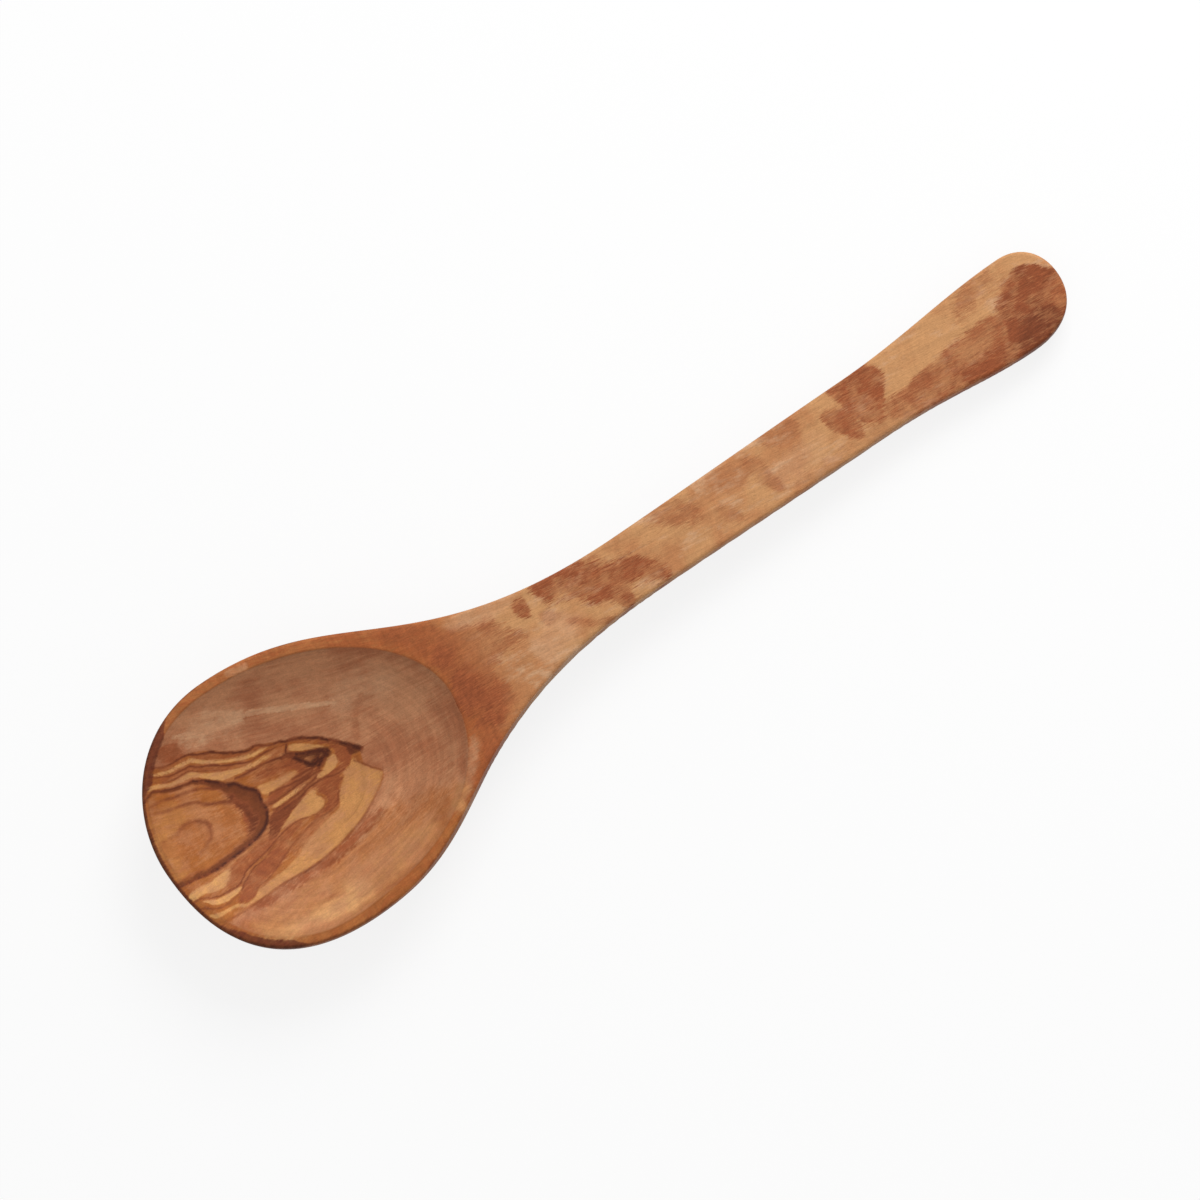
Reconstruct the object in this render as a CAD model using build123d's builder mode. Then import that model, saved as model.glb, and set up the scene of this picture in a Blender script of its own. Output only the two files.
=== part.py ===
from build123d import *
import os
from math import acos, cos, dist, radians, sin

# A carved wooden spoon, in millimetres. It lies on a table, on its belly and its handle's end.
# X runs from the bowl's tip to the handle's end, Z is up, and the origin is midway at the table.

os.makedirs("parts", exist_ok=True)

# Lengths of the stretches along the spoon
bowl_length = 106.0  # tip to the root of the neck
neck_length = 52.0  # root of the neck to the waist
grip_length = 78.0  # waist to where the handle begins to flare
flare_length = 69.0  # start of the flare to the handle's end

# Widths across the spoon
bowl_width = 83.0
waist_width = 19.1
grip_width = 20.1
flare_width = 27.2
tip_skew = 2.0  # the foremost point of the tip lies this far off the centre line
end_skew = 0.8

# The upper side is one curve seen from the side, drawn by four heights spaced evenly along it
tip_height = 24.0
bowl_lift = 23.0
handle_lift = 13.5
end_height = 8.6

# Thickness of the neck and the handle on the centre line
neck_thickness = 12.6
waist_thickness = 10.2
grip_thickness = 9.4
underside_round = 4.2  # how far the underside curls up towards the handle's sides
end_round = 3.4  # how far it curls up at the handle's very end

# The hollow, and the flat land that is left between it and the outline
hollow_depth = 16.5
land_at_tip = 2.0
land_at_sides = 3.1
land_at_neck = 10.2

# The belly, a round bowl that the outline trims
belly_height = 21.5  # up to its widest slice
belly_overhang = 0.6  # how far it reaches past the outline before that trims it
keel_overhang = 0.9  # the same for the underside of the neck and the handle

# Rounding of the edges
edge_radius = 1.1
rim_radius = 0.6

overrun = 3.0

# How each curve of the outline is drawn, on the left side (1) and on the right side (-1). The
# widest place, and the places of both handles of the curve from there to the waist, are shares of
# the bowl's length, and the flare's widest place is one of the flare's length. The rest say how
# far the curves' handles reach, as shares of the stretch that each one spans.
outline_shares = {
    1: {
        "widest": 0.358,
        "tip_rise": 0.492,
        "tip_run": 0.62,
        "neck_start": 0.785,
        "neck_end": 0.847,
        "grip": 0.33,
        "flare_start": 0.393,
        "flare_end": 0.349,
        "flare": 0.823,
        "round_run": 0.6,
        "round_rise": 0.6,
    },
    -1: {
        "widest": 0.408,
        "tip_rise": 0.68,
        "tip_run": 0.63,
        "neck_start": 0.796,
        "neck_end": 0.828,
        "grip": 0.33,
        "flare_start": 0.49,
        "flare_end": 0.337,
        "flare": 0.754,
        "round_run": 0.53,
        "round_rise": 0.7,
    },
}
belly_end_shares = {"end_run": 0.6, "end_rise": 0.6}
belly_shares = {side: shares | belly_end_shares for side, shares in outline_shares.items()}
hollow_shares = {
    1: {"widest": 0.372, "tip_rise": 0.619, "tip_run": 0.566, "end_run": 0.542, "end_rise": 0.507},
    -1: {"widest": 0.382, "tip_rise": 0.762, "tip_run": 0.388, "end_run": 0.766, "end_rise": 0.427},
}
deep_share = 0.425  # the bowl's deepest place, of the bowl's length
belly_flat_share = 0.2  # the flat that the belly rests on, of its widest slice
rim_angle_share = 0.32  # how much of the hollow's quarter round is left out at the rim
floor_share = 0.12  # the flat at the bottom of the quarter round
belly_slices = 12
hollow_slices = 6
halvings = 40  # of the search for a place on a curve

# Upright sections of the underside. Under the bowl: how far along it, heights at the centre and
# at the sides as shares of the belly's, and how full the section is between them
bowl_keel_shares = (
    {"along": 0.53, "centre": 0.14, "side": 0.95, "full": 0.45},
    {"along": 0.75, "centre": 0.26, "side": 0.8, "full": 0.6},
)
# Under the neck: how far along it, and how full
neck_keel_shares = ({"along": 0.0, "full": 0.8}, {"along": 0.5, "full": 0.95})
# Under the flare: how far along it, and height at the centre as a share of the grip's
flare_keel_shares = ({"along": 0.47, "centre": 0.2}, {"along": 0.78, "centre": 0.0})

# Places worked out from the sizes
overall_length = bowl_length + neck_length + grip_length + flare_length
tip_x = -overall_length / 2
neck_x = tip_x + bowl_length
waist_x = neck_x + neck_length
grip_x = waist_x + grip_length
end_x = grip_x + flare_length
deep_x = tip_x + deep_share * bowl_length
top_z = max(tip_height, bowl_lift, belly_height) + overrun


def closed_curve(start, spans):
    """A smooth closed curve from start. Each span has two handles and the point where it ends,
    which lies on the line from its second handle to the next span's first one."""
    points, knots, step = [start], [0.0] * 4, 1.0
    for index, (first, second, end) in enumerate(spans):
        points += [first, second]
        if index:
            before, place = spans[index - 1][1:]
            step *= dist(first, place) / dist(place, before)
            knots.append(knots[-1])
        knots.append(knots[-1] + step)
    BSpline(points + [start], knots + [knots[-1]] * 3, 3)


def turned(start, spans):
    """The same spans walked the other way, back to start."""
    starts = [start] + [span[2] for span in spans[:-1]]
    return tuple(
        (second, first, begin) for (first, second, _), begin in zip(spans[::-1], starts[::-1])
    )


def outline_spans(side):
    """One side of the spoon seen from above, from the tip to the handle's end."""
    shares = outline_shares[side]
    widest_x = tip_x + shares["widest"] * bowl_length
    flare_x = grip_x + shares["flare"] * flare_length
    flare_run = flare_x - grip_x
    widest_y, waist_y, grip_y, flare_y = (
        side * width / 2 for width in (bowl_width, waist_width, grip_width, flare_width)
    )
    return (
        (
            (tip_x, tip_skew + shares["tip_rise"] * (widest_y - tip_skew)),
            (widest_x + shares["tip_run"] * (tip_x - widest_x), widest_y),
            (widest_x, widest_y),
        ),
        (
            (tip_x + shares["neck_start"] * bowl_length, widest_y),
            (tip_x + shares["neck_end"] * bowl_length, waist_y),
            (waist_x, waist_y),
        ),
        (
            (waist_x + shares["grip"] * grip_length, waist_y),
            (grip_x - shares["grip"] * grip_length, grip_y),
            (grip_x, grip_y),
        ),
        (
            (grip_x + shares["flare_start"] * flare_run, grip_y),
            (flare_x - shares["flare_end"] * flare_run, flare_y),
            (flare_x, flare_y),
        ),
        (
            (flare_x + shares["round_run"] * (end_x - flare_x), flare_y),
            (end_x, end_skew + shares["round_rise"] * (flare_y - end_skew)),
            (end_x, end_skew),
        ),
    )


def egg(share, front, back, front_y, half_width, side_shares):
    """A closed egg about the bowl's deepest place, shrunk to a share of its size. Its widest
    places are shares of its length from the front."""
    tip = (share * front, share * front_y)
    end = (share * back, 0)
    halves = {}
    for side, shares in side_shares.items():
        widest_x = tip[0] + shares["widest"] * (end[0] - tip[0])
        widest = (widest_x, share * side * half_width)
        halves[side] = (
            (
                (tip[0], tip[1] + shares["tip_rise"] * (widest[1] - tip[1])),
                (widest_x + shares["tip_run"] * (tip[0] - widest_x), widest[1]),
                widest,
            ),
            (
                (widest_x + shares["end_run"] * (end[0] - widest_x), widest[1]),
                (end[0], shares["end_rise"] * widest[1]),
                end,
            ),
        )
    closed_curve(end, turned(tip, halves[1]) + halves[-1])


def bezier(values, t):
    """A coordinate of a cubic curve from those of its four points."""
    s = 1 - t
    return sum(v * n * s ** (3 - i) * t**i for i, (v, n) in enumerate(zip(values, (1, 3, 3, 1))))


def deck_height(x):
    """Height of the spoon's upper side."""
    return bezier((tip_height, bowl_lift, handle_lift, end_height), (x - tip_x) / overall_length)


def outline_half(x):
    """Half width of the outline on its wider side, at a place before the handle's end."""
    widths = []
    for side in (1, -1):
        start = (tip_x, tip_skew)
        for first, second, end in outline_spans(side):
            if start[0] <= x < end[0]:
                xs, ys = zip(start, first, second, end)
                low, high = 0.0, 1.0
                for _ in range(halvings):
                    middle = (low + high) / 2
                    low, high = (middle, high) if bezier(xs, middle) < x else (low, middle)
                widths.append(abs(bezier(ys, low)))
            start = end
    return max(widths)


# Sections of the underside as place, half width, height at the centre, height at the sides and
# fullness, from under the bowl to past the handle's end
neck_z = deck_height(neck_x) - neck_thickness
waist_z = deck_height(waist_x) - waist_thickness
grip_z = deck_height(grip_x) - grip_thickness

keel_sections = []
for shares in bowl_keel_shares:
    x = tip_x + shares["along"] * bowl_length
    low_z, high_z = shares["centre"] * belly_height, shares["side"] * belly_height
    keel_sections.append((x, outline_half(x) + keel_overhang, low_z, high_z, shares["full"]))
handle_sections = []
for shares in neck_keel_shares:
    x = neck_x + shares["along"] * neck_length
    handle_sections.append((x, neck_z + shares["along"] * (waist_z - neck_z), shares["full"]))
handle_sections.append((waist_x, waist_z, 1.0))
handle_sections.append(((waist_x + grip_x) / 2, (waist_z + grip_z) / 2, 1.0))
handle_sections.append((grip_x, grip_z, 1.0))
for shares in flare_keel_shares:
    x = grip_x + shares["along"] * flare_length
    handle_sections.append((x, shares["centre"] * grip_z, 1.0))
for x, low_z, fullness in handle_sections:
    high_z = low_z + underside_round
    keel_sections.append((x, outline_half(x) + keel_overhang, low_z, high_z, fullness))
end_half = flare_width / 2 + keel_overhang
keel_sections.append((end_x + overrun, end_half, end_round, end_round + underside_round, 1.0))

with BuildPart() as spoon:
    # The belly: level slices of half an ellipsoid, with an egg-shaped plan and a small flat
    # where it rests, taken straight up from its widest slice past the upper side
    flat_angle = acos(belly_flat_share)
    for step in range(belly_slices, -1, -1):
        angle = step * flat_angle / belly_slices
        height = belly_height * (1 - sin(angle) / sin(flat_angle))
        with BuildSketch(Plane((deep_x, 0, height))) as belly_slice:
            with BuildLine():
                egg(
                    cos(angle),
                    tip_x - belly_overhang - deep_x,
                    neck_x - deep_x,
                    tip_skew,
                    bowl_width / 2 + belly_overhang,
                    belly_shares,
                )
            make_face()
    loft()
    extrude(spoon.faces().sort_by(Axis.Z)[-1], amount=top_z - belly_height)

    # The keel: the neck and the handle through their upright sections, each one with a rounded
    # underside that is lowest at its centre
    for x, half, centre_z, side_z, fullness in keel_sections:
        with BuildSketch(Plane.YZ.offset(x)) as keel_section:
            with BuildLine():
                handle_z = centre_z - (side_z - centre_z) / 3
                Bezier(
                    (-half, side_z),
                    (-fullness * half, handle_z),
                    (fullness * half, handle_z),
                    (half, side_z),
                )
                Polyline(
                    (half, side_z),
                    (half, top_z),
                    (-half, top_z),
                    (-half, side_z),
                )
            make_face()
    loft()

    # The outline seen from above trims both
    with BuildSketch() as outline:
        with BuildLine():
            tip = (tip_x, tip_skew)
            closed_curve(tip, outline_spans(1) + turned(tip, outline_spans(-1)))
        make_face()
    extrude(amount=top_z, mode=Mode.INTERSECT)

    # All above the upper side is cut away
    with BuildSketch(Plane.XZ.offset(-bowl_width)) as above_deck:
        with BuildLine():
            third = overall_length / 3
            Bezier(
                (tip_x, tip_height),
                (tip_x + third, bowl_lift),
                (end_x - third, handle_lift),
                (end_x, end_height),
            )
            Polyline(
                (end_x, end_height),
                (end_x + overrun, end_height),
                (end_x + overrun, top_z + overrun),
                (tip_x - overrun, top_z + overrun),
                (tip_x - overrun, tip_height),
                (tip_x, tip_height),
            )
        make_face()
    extrude(amount=2 * bowl_width, mode=Mode.SUBTRACT)

    # The hollow: slices of a rounder egg, parallel to the line from rim to rim
    hollow_start_x = tip_x + land_at_tip
    hollow_end_x = neck_x - land_at_neck
    rim_run = hollow_end_x - hollow_start_x
    rim_drop = deck_height(hollow_start_x) - deck_height(hollow_end_x)
    rim_plane = Plane(
        origin=(deep_x, 0, deck_height(deep_x)),
        x_dir=(rim_run, 0, -rim_drop),
        z_dir=(rim_drop, 0, rim_run),
    )
    rim_angle = rim_angle_share * radians(90)
    floor_angle = acos(floor_share)
    for step in range(-1, hollow_slices + 1):
        angle = rim_angle + (floor_angle - rim_angle) * step / hollow_slices
        depth = hollow_depth * (sin(angle) - sin(rim_angle)) / (sin(floor_angle) - sin(rim_angle))
        with BuildSketch(rim_plane.offset(-depth)) as hollow_slice:
            with BuildLine():
                egg(
                    cos(angle) / cos(rim_angle),
                    hollow_start_x - deep_x,
                    hollow_end_x - deep_x,
                    tip_skew,
                    bowl_width / 2 - land_at_sides,
                    hollow_shares,
                )
            make_face()
    loft(mode=Mode.SUBTRACT)

    # The crisp edges are eased, first the hollow's rim and then the outer edge
    deck = spoon.faces().filter_by(lambda face: len(face.inner_wires()) > 0).sort_by(Axis.Z)[-1]
    fillet(deck.inner_wires()[0].edges(), rim_radius)
    deck = spoon.faces().filter_by(lambda face: len(face.inner_wires()) > 0).sort_by(Axis.Z)[-1]
    fillet(deck.outer_wire().edges(), edge_radius)

spoon.part.label = "spoon"
export_step(spoon.part, "parts/spoon.step")
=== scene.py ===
import math
import bmesh
import bpy
import numpy as np
from mathutils import Matrix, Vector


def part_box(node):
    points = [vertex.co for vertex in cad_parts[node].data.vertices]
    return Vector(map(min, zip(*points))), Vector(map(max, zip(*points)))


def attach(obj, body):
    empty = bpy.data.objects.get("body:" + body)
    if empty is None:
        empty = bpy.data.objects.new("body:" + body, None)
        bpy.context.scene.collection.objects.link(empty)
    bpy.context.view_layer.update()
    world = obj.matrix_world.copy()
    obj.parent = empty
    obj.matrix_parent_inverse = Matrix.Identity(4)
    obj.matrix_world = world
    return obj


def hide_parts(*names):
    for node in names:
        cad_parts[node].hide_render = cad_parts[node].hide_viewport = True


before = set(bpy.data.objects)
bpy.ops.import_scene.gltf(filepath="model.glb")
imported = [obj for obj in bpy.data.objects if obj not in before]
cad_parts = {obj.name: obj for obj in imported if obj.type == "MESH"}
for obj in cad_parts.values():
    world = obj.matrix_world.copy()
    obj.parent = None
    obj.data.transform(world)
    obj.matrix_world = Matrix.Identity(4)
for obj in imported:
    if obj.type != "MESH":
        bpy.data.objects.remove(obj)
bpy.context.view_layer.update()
spoonLow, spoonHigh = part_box("spoon")
print("frame loaded:", sorted(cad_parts))

mm = 0.001  # shapes are worked out in millimetres and put into the meshes in metres

# The spoon, seen from above: x runs from the bowl's tip to the handle's end, y across it
spoonShape = {
    "bowlLength": 106.0,
    "neckLength": 52.0,
    "gripLength": 78.0,
    "bowlWidth": 83.0,
    "waistWidth": 19.1,
    "gripWidth": 20.1,
    "flareWidth": 27.2,
    "tipSkew": 2.0,
    "endSkew": 0.8,
    "deckHeights": (24.0, 23.0, 13.5, 8.6),  # of the upper side, evenly spaced along it
    "hollowDepth": 16.5,
    "landAtTip": 2.0,
    "landAtSides": 3.1,
    "landAtNeck": 10.2,
    "rimAngle": math.radians(28.8),  # what is left out of the hollow's quarter round at its rim
    "rimSoftness": 0.3,
    "rimInset": 0.35,  # the rim's tip and neck lie this much further in than the land says
    "edgeRadius": 1.1,
    "bellyHeight": 21.5,
    "bellyOverhang": 0.3,
    "bellyFlatShare": 0.2,
    "deepShare": 0.425,  # the deepest place, as a share of the bowl's length
    "bellySlope": 60.0,  # how steeply the belly goes on outside its egg
    "keelSlope": 1.5,  # and the keel before its first place
    "keelSmoothing": 10.0,
    "undersideBlend": 1.6,  # how softly the belly runs into the neck
}
outlineShares = {
    1: {
        "widest": 0.358, "tipRise": 0.492, "tipRun": 0.62, "neckStart": 0.785, "neckEnd": 0.847,
        "grip": 0.33, "flareStart": 0.393, "flareEnd": 0.349, "flare": 0.823,
        "roundRun": 0.6, "roundRise": 0.6,
    },
    -1: {
        "widest": 0.408, "tipRise": 0.68, "tipRun": 0.63, "neckStart": 0.796, "neckEnd": 0.828,
        "grip": 0.33, "flareStart": 0.49, "flareEnd": 0.337, "flare": 0.754,
        "roundRun": 0.53, "roundRise": 0.7,
    },
}
bellyEndShares = {"endRun": 0.6, "endRise": 0.6}
hollowShares = {
    1: {"widest": 0.372, "tipRise": 0.619, "tipRun": 0.566, "endRun": 0.542, "endRise": 0.507},
    -1: {"widest": 0.382, "tipRise": 0.762, "tipRun": 0.388, "endRun": 0.766, "endRise": 0.427},
}
# The underside along the spoon: place from the tip, height at the centre, height at the sides
keelPlaces = (56.0, 79.5, 106.0, 132.0, 158.0, 197.0, 236.0, 268.0, 290.0, 308.0)
keelCentres = (3.0, 5.6, 7.8, 7.5, 7.2, 5.2, 3.1, 0.6, 0.0, 3.4)
keelSides = (20.4, 17.2, 12.0, 11.7, 11.4, 9.4, 7.3, 4.8, 4.2, 7.6)

spoonMesh = {
    "aroundBowlSide": 210,  # points on each side of the bowl
    "acrossHandle": 34,
    "alongHandle": 270,
    "hollowRings": 46,
    "landRings": 8,
    "bellyRings": 48,
    "edgeSteps": 5,
    "wallSteps": 4,
    "gatePlace": 112.0,  # where the bowl's round grid meets the handle's straight one
    "hollowCrowding": 1.35,  # over 1, the rings crowd towards the rim
    "landCrowding": 1.6,
    "mergeDistance": 0.002,
    "batch": 4000,  # points measured against a loop at a time
}

# The camera looks down, leaning a little towards the near side, with the spoon across the frame
cameraPlace = {
    "spoonAngle": math.radians(34.65),
    "lean": math.radians(7.0),
    "distance": 2.2,
    "frameWidth": 0.3399,
    "aim": (-0.0076, -0.0032, 0.018),
}

tipX, endX = spoonLow[0] / mm, spoonHigh[0] / mm
neckX = tipX + spoonShape["bowlLength"]
waistX = neckX + spoonShape["neckLength"]
gripX = waistX + spoonShape["gripLength"]
deepX = tipX + spoonShape["deepShare"] * spoonShape["bowlLength"]
gateX = tipX + spoonMesh["gatePlace"]


# Cubic curve: the four points weighed by (1-t)^3, 3(1-t)^2 t, 3(1-t) t^2 and t^3
def cubicCurve(points, t):
    t = t[:, None]
    p = np.array(points, float)
    return (1 - t) ** 3 * p[0] + 3 * (1 - t) ** 2 * t * p[1] + 3 * (1 - t) * t**2 * p[2] + t**3 * p[3]


# Several cubic curves end to end, sampled closely
def joinedCurves(start, spans, samples=400):
    t = np.linspace(0, 1, samples)
    rows = [np.array([start], float)]
    for first, second, end in spans:
        rows.append(cubicCurve((start, first, second, end), t)[1:])
        start = end
    return np.vstack(rows)


# One side of the outline, from the tip over the widest place, waist and flare to the end
def outlineSide(side):
    s = spoonShape
    c = outlineShares[side]
    flareLength = endX - gripX
    widestX = tipX + c["widest"] * s["bowlLength"]
    flareX = gripX + c["flare"] * flareLength
    widestY, waistY = side * s["bowlWidth"] / 2, side * s["waistWidth"] / 2
    gripY, flareY = side * s["gripWidth"] / 2, side * s["flareWidth"] / 2
    return joinedCurves((tipX, s["tipSkew"]), (
        ((tipX, s["tipSkew"] + c["tipRise"] * (widestY - s["tipSkew"])),
         (widestX + c["tipRun"] * (tipX - widestX), widestY), (widestX, widestY)),
        ((tipX + c["neckStart"] * s["bowlLength"], widestY),
         (tipX + c["neckEnd"] * s["bowlLength"], waistY), (waistX, waistY)),
        ((waistX + c["grip"] * s["gripLength"], waistY),
         (gripX - c["grip"] * s["gripLength"], gripY), (gripX, gripY)),
        ((gripX + c["flareStart"] * (flareX - gripX), gripY),
         (flareX - c["flareEnd"] * (flareX - gripX), flareY), (flareX, flareY)),
        ((flareX + c["roundRun"] * (endX - flareX), flareY),
         (endX, s["endSkew"] + c["roundRise"] * (flareY - s["endSkew"])), (endX, s["endSkew"])),
    ))


# A closed egg from a front place to a back place, as angles about the deepest place and radii
def eggRadii(frontX, backX, halfWidth, shares):
    halves = []
    for side, c in shares.items():
        widestX = frontX + c["widest"] * (backX - frontX)
        widestY = side * halfWidth
        tip = (frontX, spoonShape["tipSkew"])
        halves.append(joinedCurves(tip, (
            ((frontX, tip[1] + c["tipRise"] * (widestY - tip[1])),
             (widestX + c["tipRun"] * (frontX - widestX), widestY), (widestX, widestY)),
            ((widestX + c["endRun"] * (backX - widestX), widestY),
             (backX, c["endRise"] * widestY), (backX, 0.0)),
        )))
    loop = np.vstack(halves) - (deepX, 0.0)
    angles = np.arctan2(loop[:, 1], loop[:, 0])
    order = np.argsort(angles)
    return angles[order], np.hypot(*loop[order].T)


# Radius of such an egg at any angle
def eggAt(egg, angle):
    return np.interp(angle, egg[0], egg[1], period=2 * np.pi)


# Points of a curve at the given lengths along it, with their outward normals
def pointsAlong(curve, lengths, side):
    steps = np.hypot(*np.diff(curve, axis=0).T)
    run = np.concatenate(([0], np.cumsum(steps)))
    tangent = np.gradient(curve, run, axis=0)
    at = np.stack([np.interp(lengths, run, curve[:, i]) for i in (0, 1)], 1)
    way = np.stack([np.interp(lengths, run, tangent[:, i]) for i in (0, 1)], 1)
    way /= np.linalg.norm(way, axis=1)[:, None]
    way[np.abs(way) < 0.01] = 0  # square to the spoon at its tip and end
    return at, side * np.stack((-way[:, 1], way[:, 0]), 1)


# Length along one side where it passes a place behind the bowl's widest one
def lengthAtPlace(curve, place):
    run = np.concatenate(([0], np.cumsum(np.hypot(*np.diff(curve, axis=0).T))))
    behind = curve[:, 0] > deepX
    return np.interp(place, curve[behind, 0], run[behind]), run[-1]


# Height of the upper side: one cubic curve of the place along the spoon
def deckHeight(x):
    t = ((x - tipX) / (endX - tipX)).ravel()
    heights = [(z,) for z in spoonShape["deckHeights"]]
    return cubicCurve(heights, t)[:, 0].reshape(x.shape)


# Depth of the hollow: part of a quarter round over the share of the way from the deepest place
# to the rim, run on straight past the rim, and eased where it meets the upper side
def hollowDepth(share):
    s = spoonShape
    c, sine = math.cos(s["rimAngle"]), math.sin(s["rimAngle"])
    scale = s["hollowDepth"] / (1 - sine)
    inside = scale * (np.sqrt(1 - np.minimum(share, 1) ** 2 * c * c) - sine)
    depth = np.where(share < 1, inside, -scale * c * c / sine * (share - 1))
    return (depth + np.sqrt(depth**2 + s["rimSoftness"] ** 2)) / 2


# For each point, the number of the loop's nearest point and its distance
def nearestOnLoop(points, loop):
    number = np.empty(len(points), int)
    distance = np.empty(len(points))
    for start in range(0, len(points), spoonMesh["batch"]):
        part = slice(start, start + spoonMesh["batch"])
        squares = ((points[part, None, :] - loop[None, :, :]) ** 2).sum(2)
        number[part] = squares.argmin(1)
        distance[part] = np.sqrt(squares.min(1))
    return number, distance


# How far each point lies from the spoon's outline, seen from above
def outlineGap(x, y, step=2):
    return nearestOnLoop(np.stack((x, y), -1).reshape(-1, 2), outlineLoop[::step])[1].reshape(x.shape)


# A table of heights along the spoon, evened out over a few millimetres
def smoothTable(values):
    step, margin = 0.5, 20
    x = np.arange(tipX - margin, endX + margin, step)
    rough = np.interp(x, tipX + np.array(keelPlaces), values)
    half = int(spoonShape["keelSmoothing"] / step)
    window = np.hanning(2 * half + 1)
    return x, np.convolve(np.pad(rough, half, mode="edge"), window / window.sum(), mode="valid")


sides = {side: outlineSide(side) for side in (1, -1)}
outlineLoop = np.vstack((sides[1], sides[-1][::-1]))
rimEgg = eggRadii(tipX + spoonShape["landAtTip"] + spoonShape["rimInset"],
                  neckX - spoonShape["landAtNeck"] - spoonShape["rimInset"],
                  spoonShape["bowlWidth"] / 2 - spoonShape["landAtSides"], hollowShares)
bellyEgg = eggRadii(tipX - spoonShape["bellyOverhang"], neckX,
                    spoonShape["bowlWidth"] / 2 + spoonShape["bellyOverhang"],
                    {side: {**c, **bellyEndShares} for side, c in outlineShares.items()})
centreTable = smoothTable(keelCentres)
sideTable = smoothTable(keelSides)
midX = np.linspace(tipX + 1, endX - 1, 400)
midGap = nearestOnLoop(np.stack((midX, np.zeros_like(midX)), 1), outlineLoop[::4])[1]
capStart = endX - spoonShape["flareWidth"] / 2
capGap = np.interp(capStart, midX, midGap)
midGap = np.where(midX > capStart, capGap, midGap)


# Height of the underside: the lower of the belly (half an ellipsoid over the egg) and the keel
# (a rounded section that rises towards the outline), run together softly, and flat at the table
def undersideHeight(x, y):
    s = spoonShape
    angle = np.arctan2(y, x - deepX)
    share = np.hypot(x - deepX, y) / eggAt(bellyEgg, angle)
    flat = math.sqrt(1 - s["bellyFlatShare"] ** 2)
    belly = s["bellyHeight"] * (1 - np.sqrt(np.maximum(1 - share**2, 0)) / flat)
    belly += s["bellySlope"] * np.maximum(share - 1, 0)
    before = s["keelSlope"] * np.maximum(tipX + keelPlaces[0] - x, 0)
    centre = np.interp(x, *centreTable) + before
    side = np.interp(x, *sideTable) + before
    near = 1 - np.clip(outlineGap(x, y) / np.interp(x, midX, midGap), 0, 1)
    bow = 2 * np.sin(np.arcsin(near) / 3)  # solves bow * (3 - bow^2) / 2 = near
    keel = centre + (side - centre) * bow**2
    blend = s["undersideBlend"]
    low = (belly + keel - np.sqrt((belly - keel) ** 2 + blend**2)) / 2
    return np.maximum(low, 0)


# Faces of a grid of points, rows by columns, closed round the columns if asked
def gridFaces(rows, columns, first=0, wrap=False):
    index = first + np.arange(rows * columns).reshape(rows, columns)
    if wrap:
        index = np.hstack((index, index[:, :1]))
    corners = (index[:-1, :-1], index[:-1, 1:], index[1:, 1:], index[1:, :-1])
    return np.stack(corners, -1).reshape(-1, 4)


# Place in the hollow: share of the way from the deepest place to the rim, past 1 outside it
def rimShareAt(x, y):
    return np.hypot(x - deepX, y) / eggAt(rimEgg, np.arctan2(y, x - deepX))


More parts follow.
